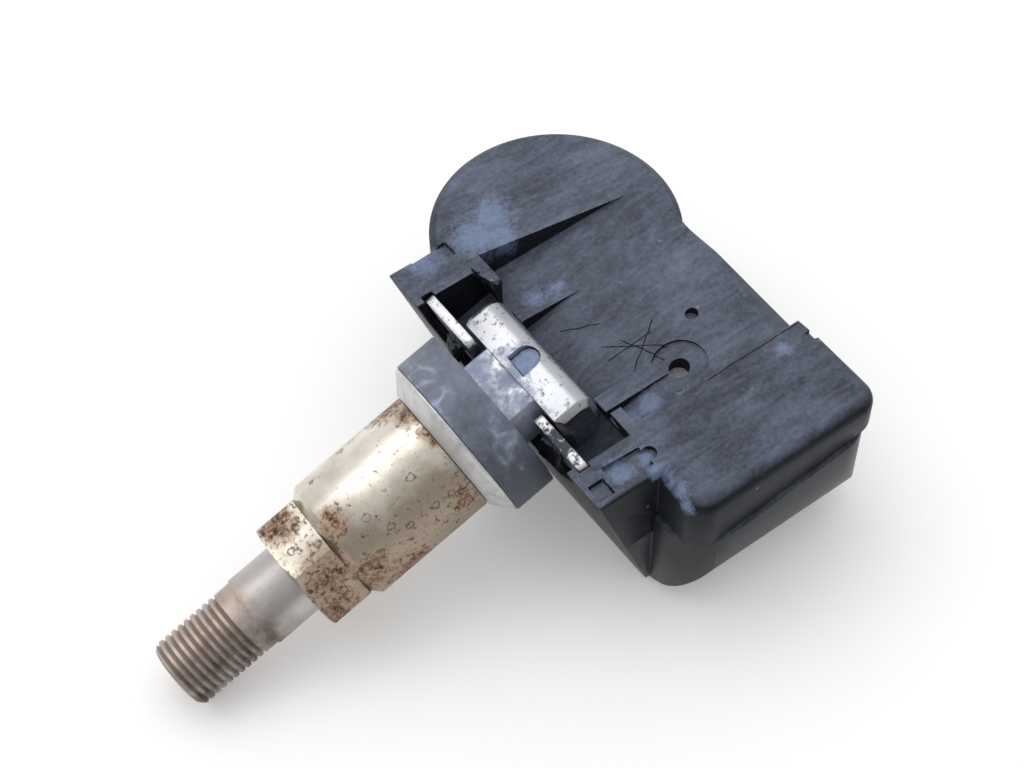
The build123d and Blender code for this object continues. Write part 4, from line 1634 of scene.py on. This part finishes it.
@dataclass
class ValveCore:
    """The sprung core inside the valve's mouth."""

    def build(self) -> list[bpy.types.Object]:
        """Dresses the core's pieces.

        Returns:
            The dressed CAD nodes.
        """
        brass = WorkedMetal(
            "turned brass", "#c9b27a", "#8c7444", axis=Axis.STEM, lines=(3.0, 3.0, 0.15), tarnish=0.55
        )
        wire = WorkedMetal(
            "drawn spring wire", "#bfbfbf", "#8f8d8a", axis=Axis.STEM, lines=(0.5, 0.5, 2.0)
        )
        rubber = PlainMoulding(
            "moulded black rubber", "#2c2c2e", "#1d1d1f", roughness=0.62, mottle=0.7, grain=0.12
        )
        return dress_nodes(
            {
                "core_plug": brass,
                "core_barrel": brass,
                "core_pin": brass,
                "core_gasket": rubber,
                "core_cup": rubber,
                "core_spring": wire,
            }
        )


@dataclass(frozen=True)
class WhiteTable(Finish):
    """Matt white laminate: almost pure white, with the faintest cloud of grey.

    Attributes:
        white: Its colour.
        grey: Colour of the cloud.
        cloud: Size of the cloud in millimetres.
        glow: How much it is lifted towards white for the camera and for reflections.
    """

    white: str = "#fbfbfb"
    grey: str = "#f8f8f9"
    cloud: float = 60.0
    glow: float = 0.17

    def paint(self, tree: bpy.types.NodeTree, shader: bpy.types.Node) -> None:
        """Draws a matt white top that keeps its shadows.

        Args:
            tree: Node tree of the material.
            shader: Its Principled shader.
        """
        place = place_mm(tree, Axis.MODEL)
        cloud = add(tree, Node.NOISE, place, scale=1 / self.cloud, detail=3.0)
        colour = add(tree, Node.BLEND, cloud, a=self.white, b=self.grey)
        rays = add(tree, Node.LIGHT_PATH).outputs
        shown = union(
            tree, (rays[f"Is {kind} Ray"] for kind in ("Camera", "Glossy", "Transmission"))
        )
        lifted = add(tree, Node.MULTIPLY, shown, self.glow)
        feed(tree, shader, base_color=colour, roughness=0.9, specular_ior_level=0.1)
        feed(tree, shader, emission_color=WHITE, emission_strength=lifted)


@dataclass
class Studio:
    """White table, pale surround, one large soft lamp overhead and the camera.

    Attributes:
        table: Half width of the table in metres.
        corner: Rounding of the table's corners as a share of its half width.
        gap: Gap between the tray and the table in millimetres, so that their faces stay apart.
        bright_side: Direction in which the surround is brightest.
        dim: Brightness of the surround on the other side.
        bright: Brightness of the surround on the bright side.
        turn_of_light: Cosines of the angles from the bright side where it is dim and bright.
        lamp_from: Direction of the lamp from the sensor.
        lamp_away: How far the lamp hangs, in metres.
        lamp_size: Width of the lamp in metres.
        lamp_power: Power of the lamp in watts.
        lens: Focal length in millimetres.
        film: Width of the camera's picture plane in millimetres.
        nearest: Nearest thing that the camera shows, in metres.
        camera_at: Place of the camera in millimetres.
        azimuth: Turn of the camera about the vertical, in degrees.
        roll: Turn of the camera about its line of sight, in degrees.
        sight: Direction that the camera looks in.
    """

    table: float = 4.0
    corner: float = 0.3
    gap: float = 0.02
    bright_side: Triple = (0.2, 0.55, 0.81)
    dim: float = 0.3
    bright: float = 1.0
    turn_of_light: Pair = (-0.5, 0.9)
    lamp_from: Triple = (-0.2, 0.42, 0.9)
    lamp_away: float = 0.9
    lamp_size: float = 0.6
    lamp_power: float = 1.5
    lens: float = 73.83
    film: float = 36.0
    nearest: float = 0.005
    camera_at: Triple = (-85.027, -99.824, 190.725)
    azimuth: float = -35.0942
    roll: float = -1.4967
    sight: Triple = (0.33254, 0.47326, -0.81575)

    def build(self) -> None:
        """Sets up the table, the light and the camera."""
        self.lay_table()
        self.shade_surround()
        self.hang_lamp()
        self.aim_camera()
        bpy.context.scene.view_settings.view_transform = "Standard"

    def lay_table(self) -> None:
        """Models the table top with rounded corners."""
        bpy.ops.object.select_all(action="DESELECT")
        bpy.ops.mesh.primitive_plane_add(size=2 * self.table, location=(0.0, 0.0, -self.gap * MM))
        table = bpy.context.active_object
        table.name = "white_table"
        with edit_mode():
            bpy.ops.mesh.select_all(action="SELECT")
            bpy.ops.mesh.bevel(affect="VERTICES", offset=self.corner * self.table, segments=6)
        bpy.ops.object.transform_apply()
        dress(table, WhiteTable("matt white laminate"))

    def shade_surround(self) -> None:
        """Shades the surround from dim at the front to white behind and above."""
        world = bpy.data.worlds.new("pale surround")
        bpy.context.scene.world = world
        world.use_nodes = True
        tree = world.node_tree
        direction = add(tree, Node.PLACE).outputs["Generated"]
        alike = add(tree, Node.DOT_PRODUCT, direction, self.bright_side)
        level = add(tree, Node.RANGE, alike, *self.turn_of_light, self.dim, self.bright)
        feed(tree, tree.nodes["Background"], color=WHITE, strength=level)

    def hang_lamp(self) -> None:
        """Hangs the soft lamp over the sensor."""
        lamp = bpy.data.lights.new("softbox", "AREA")
        lamp.energy = self.lamp_power
        lamp.size = self.lamp_size
        holder = bpy.data.objects.new("softbox", lamp)
        bpy.context.scene.collection.objects.link(holder)
        outward = Vector(self.lamp_from).normalized()
        holder.location = outward * self.lamp_away
        holder.rotation_euler = outward.to_track_quat("Z", "Y").to_euler()

    def aim_camera(self) -> None:
        """Puts the camera where the photograph was taken from."""
        ahead = Vector(self.sight).normalized()
        level = Vector((cos(radians(self.azimuth)), sin(radians(self.azimuth)), 0.0))
        upright = level.cross(ahead)
        turn = radians(self.roll)
        right = cos(turn) * level + sin(turn) * upright
        top = cos(turn) * upright - sin(turn) * level
        view = bpy.data.cameras.new("camera")
        view.lens = self.lens
        view.sensor_width = self.film
        view.clip_start = self.nearest
        camera = bpy.data.objects.new("camera", view)
        bpy.context.scene.collection.objects.link(camera)
        matrix = Matrix((right, top, -ahead)).transposed().to_4x4()
        matrix.translation = Vector(self.camera_at) * MM
        camera.matrix_world = matrix
        bpy.context.scene.camera = camera


def main() -> None:
    """Builds every sub-assembly and the studio, and logs the faces of each piece."""
    logging.basicConfig(level=logging.INFO, format="%(message)s")
    assemblies = (
        SensorShell(),
        SensorElectronics(),
        LockingFork(),
        ThreadedStem(),
        ClampNut(),
        ValveCore(),
    )
    for assembly in assemblies:
        for piece in assembly.build():
            faces = len(piece.data.polygons)
            LOG.info("%s: %s, %d faces", type(assembly).__name__, piece.name, faces)
    Studio().build()


if __name__ == "__main__":
    main()
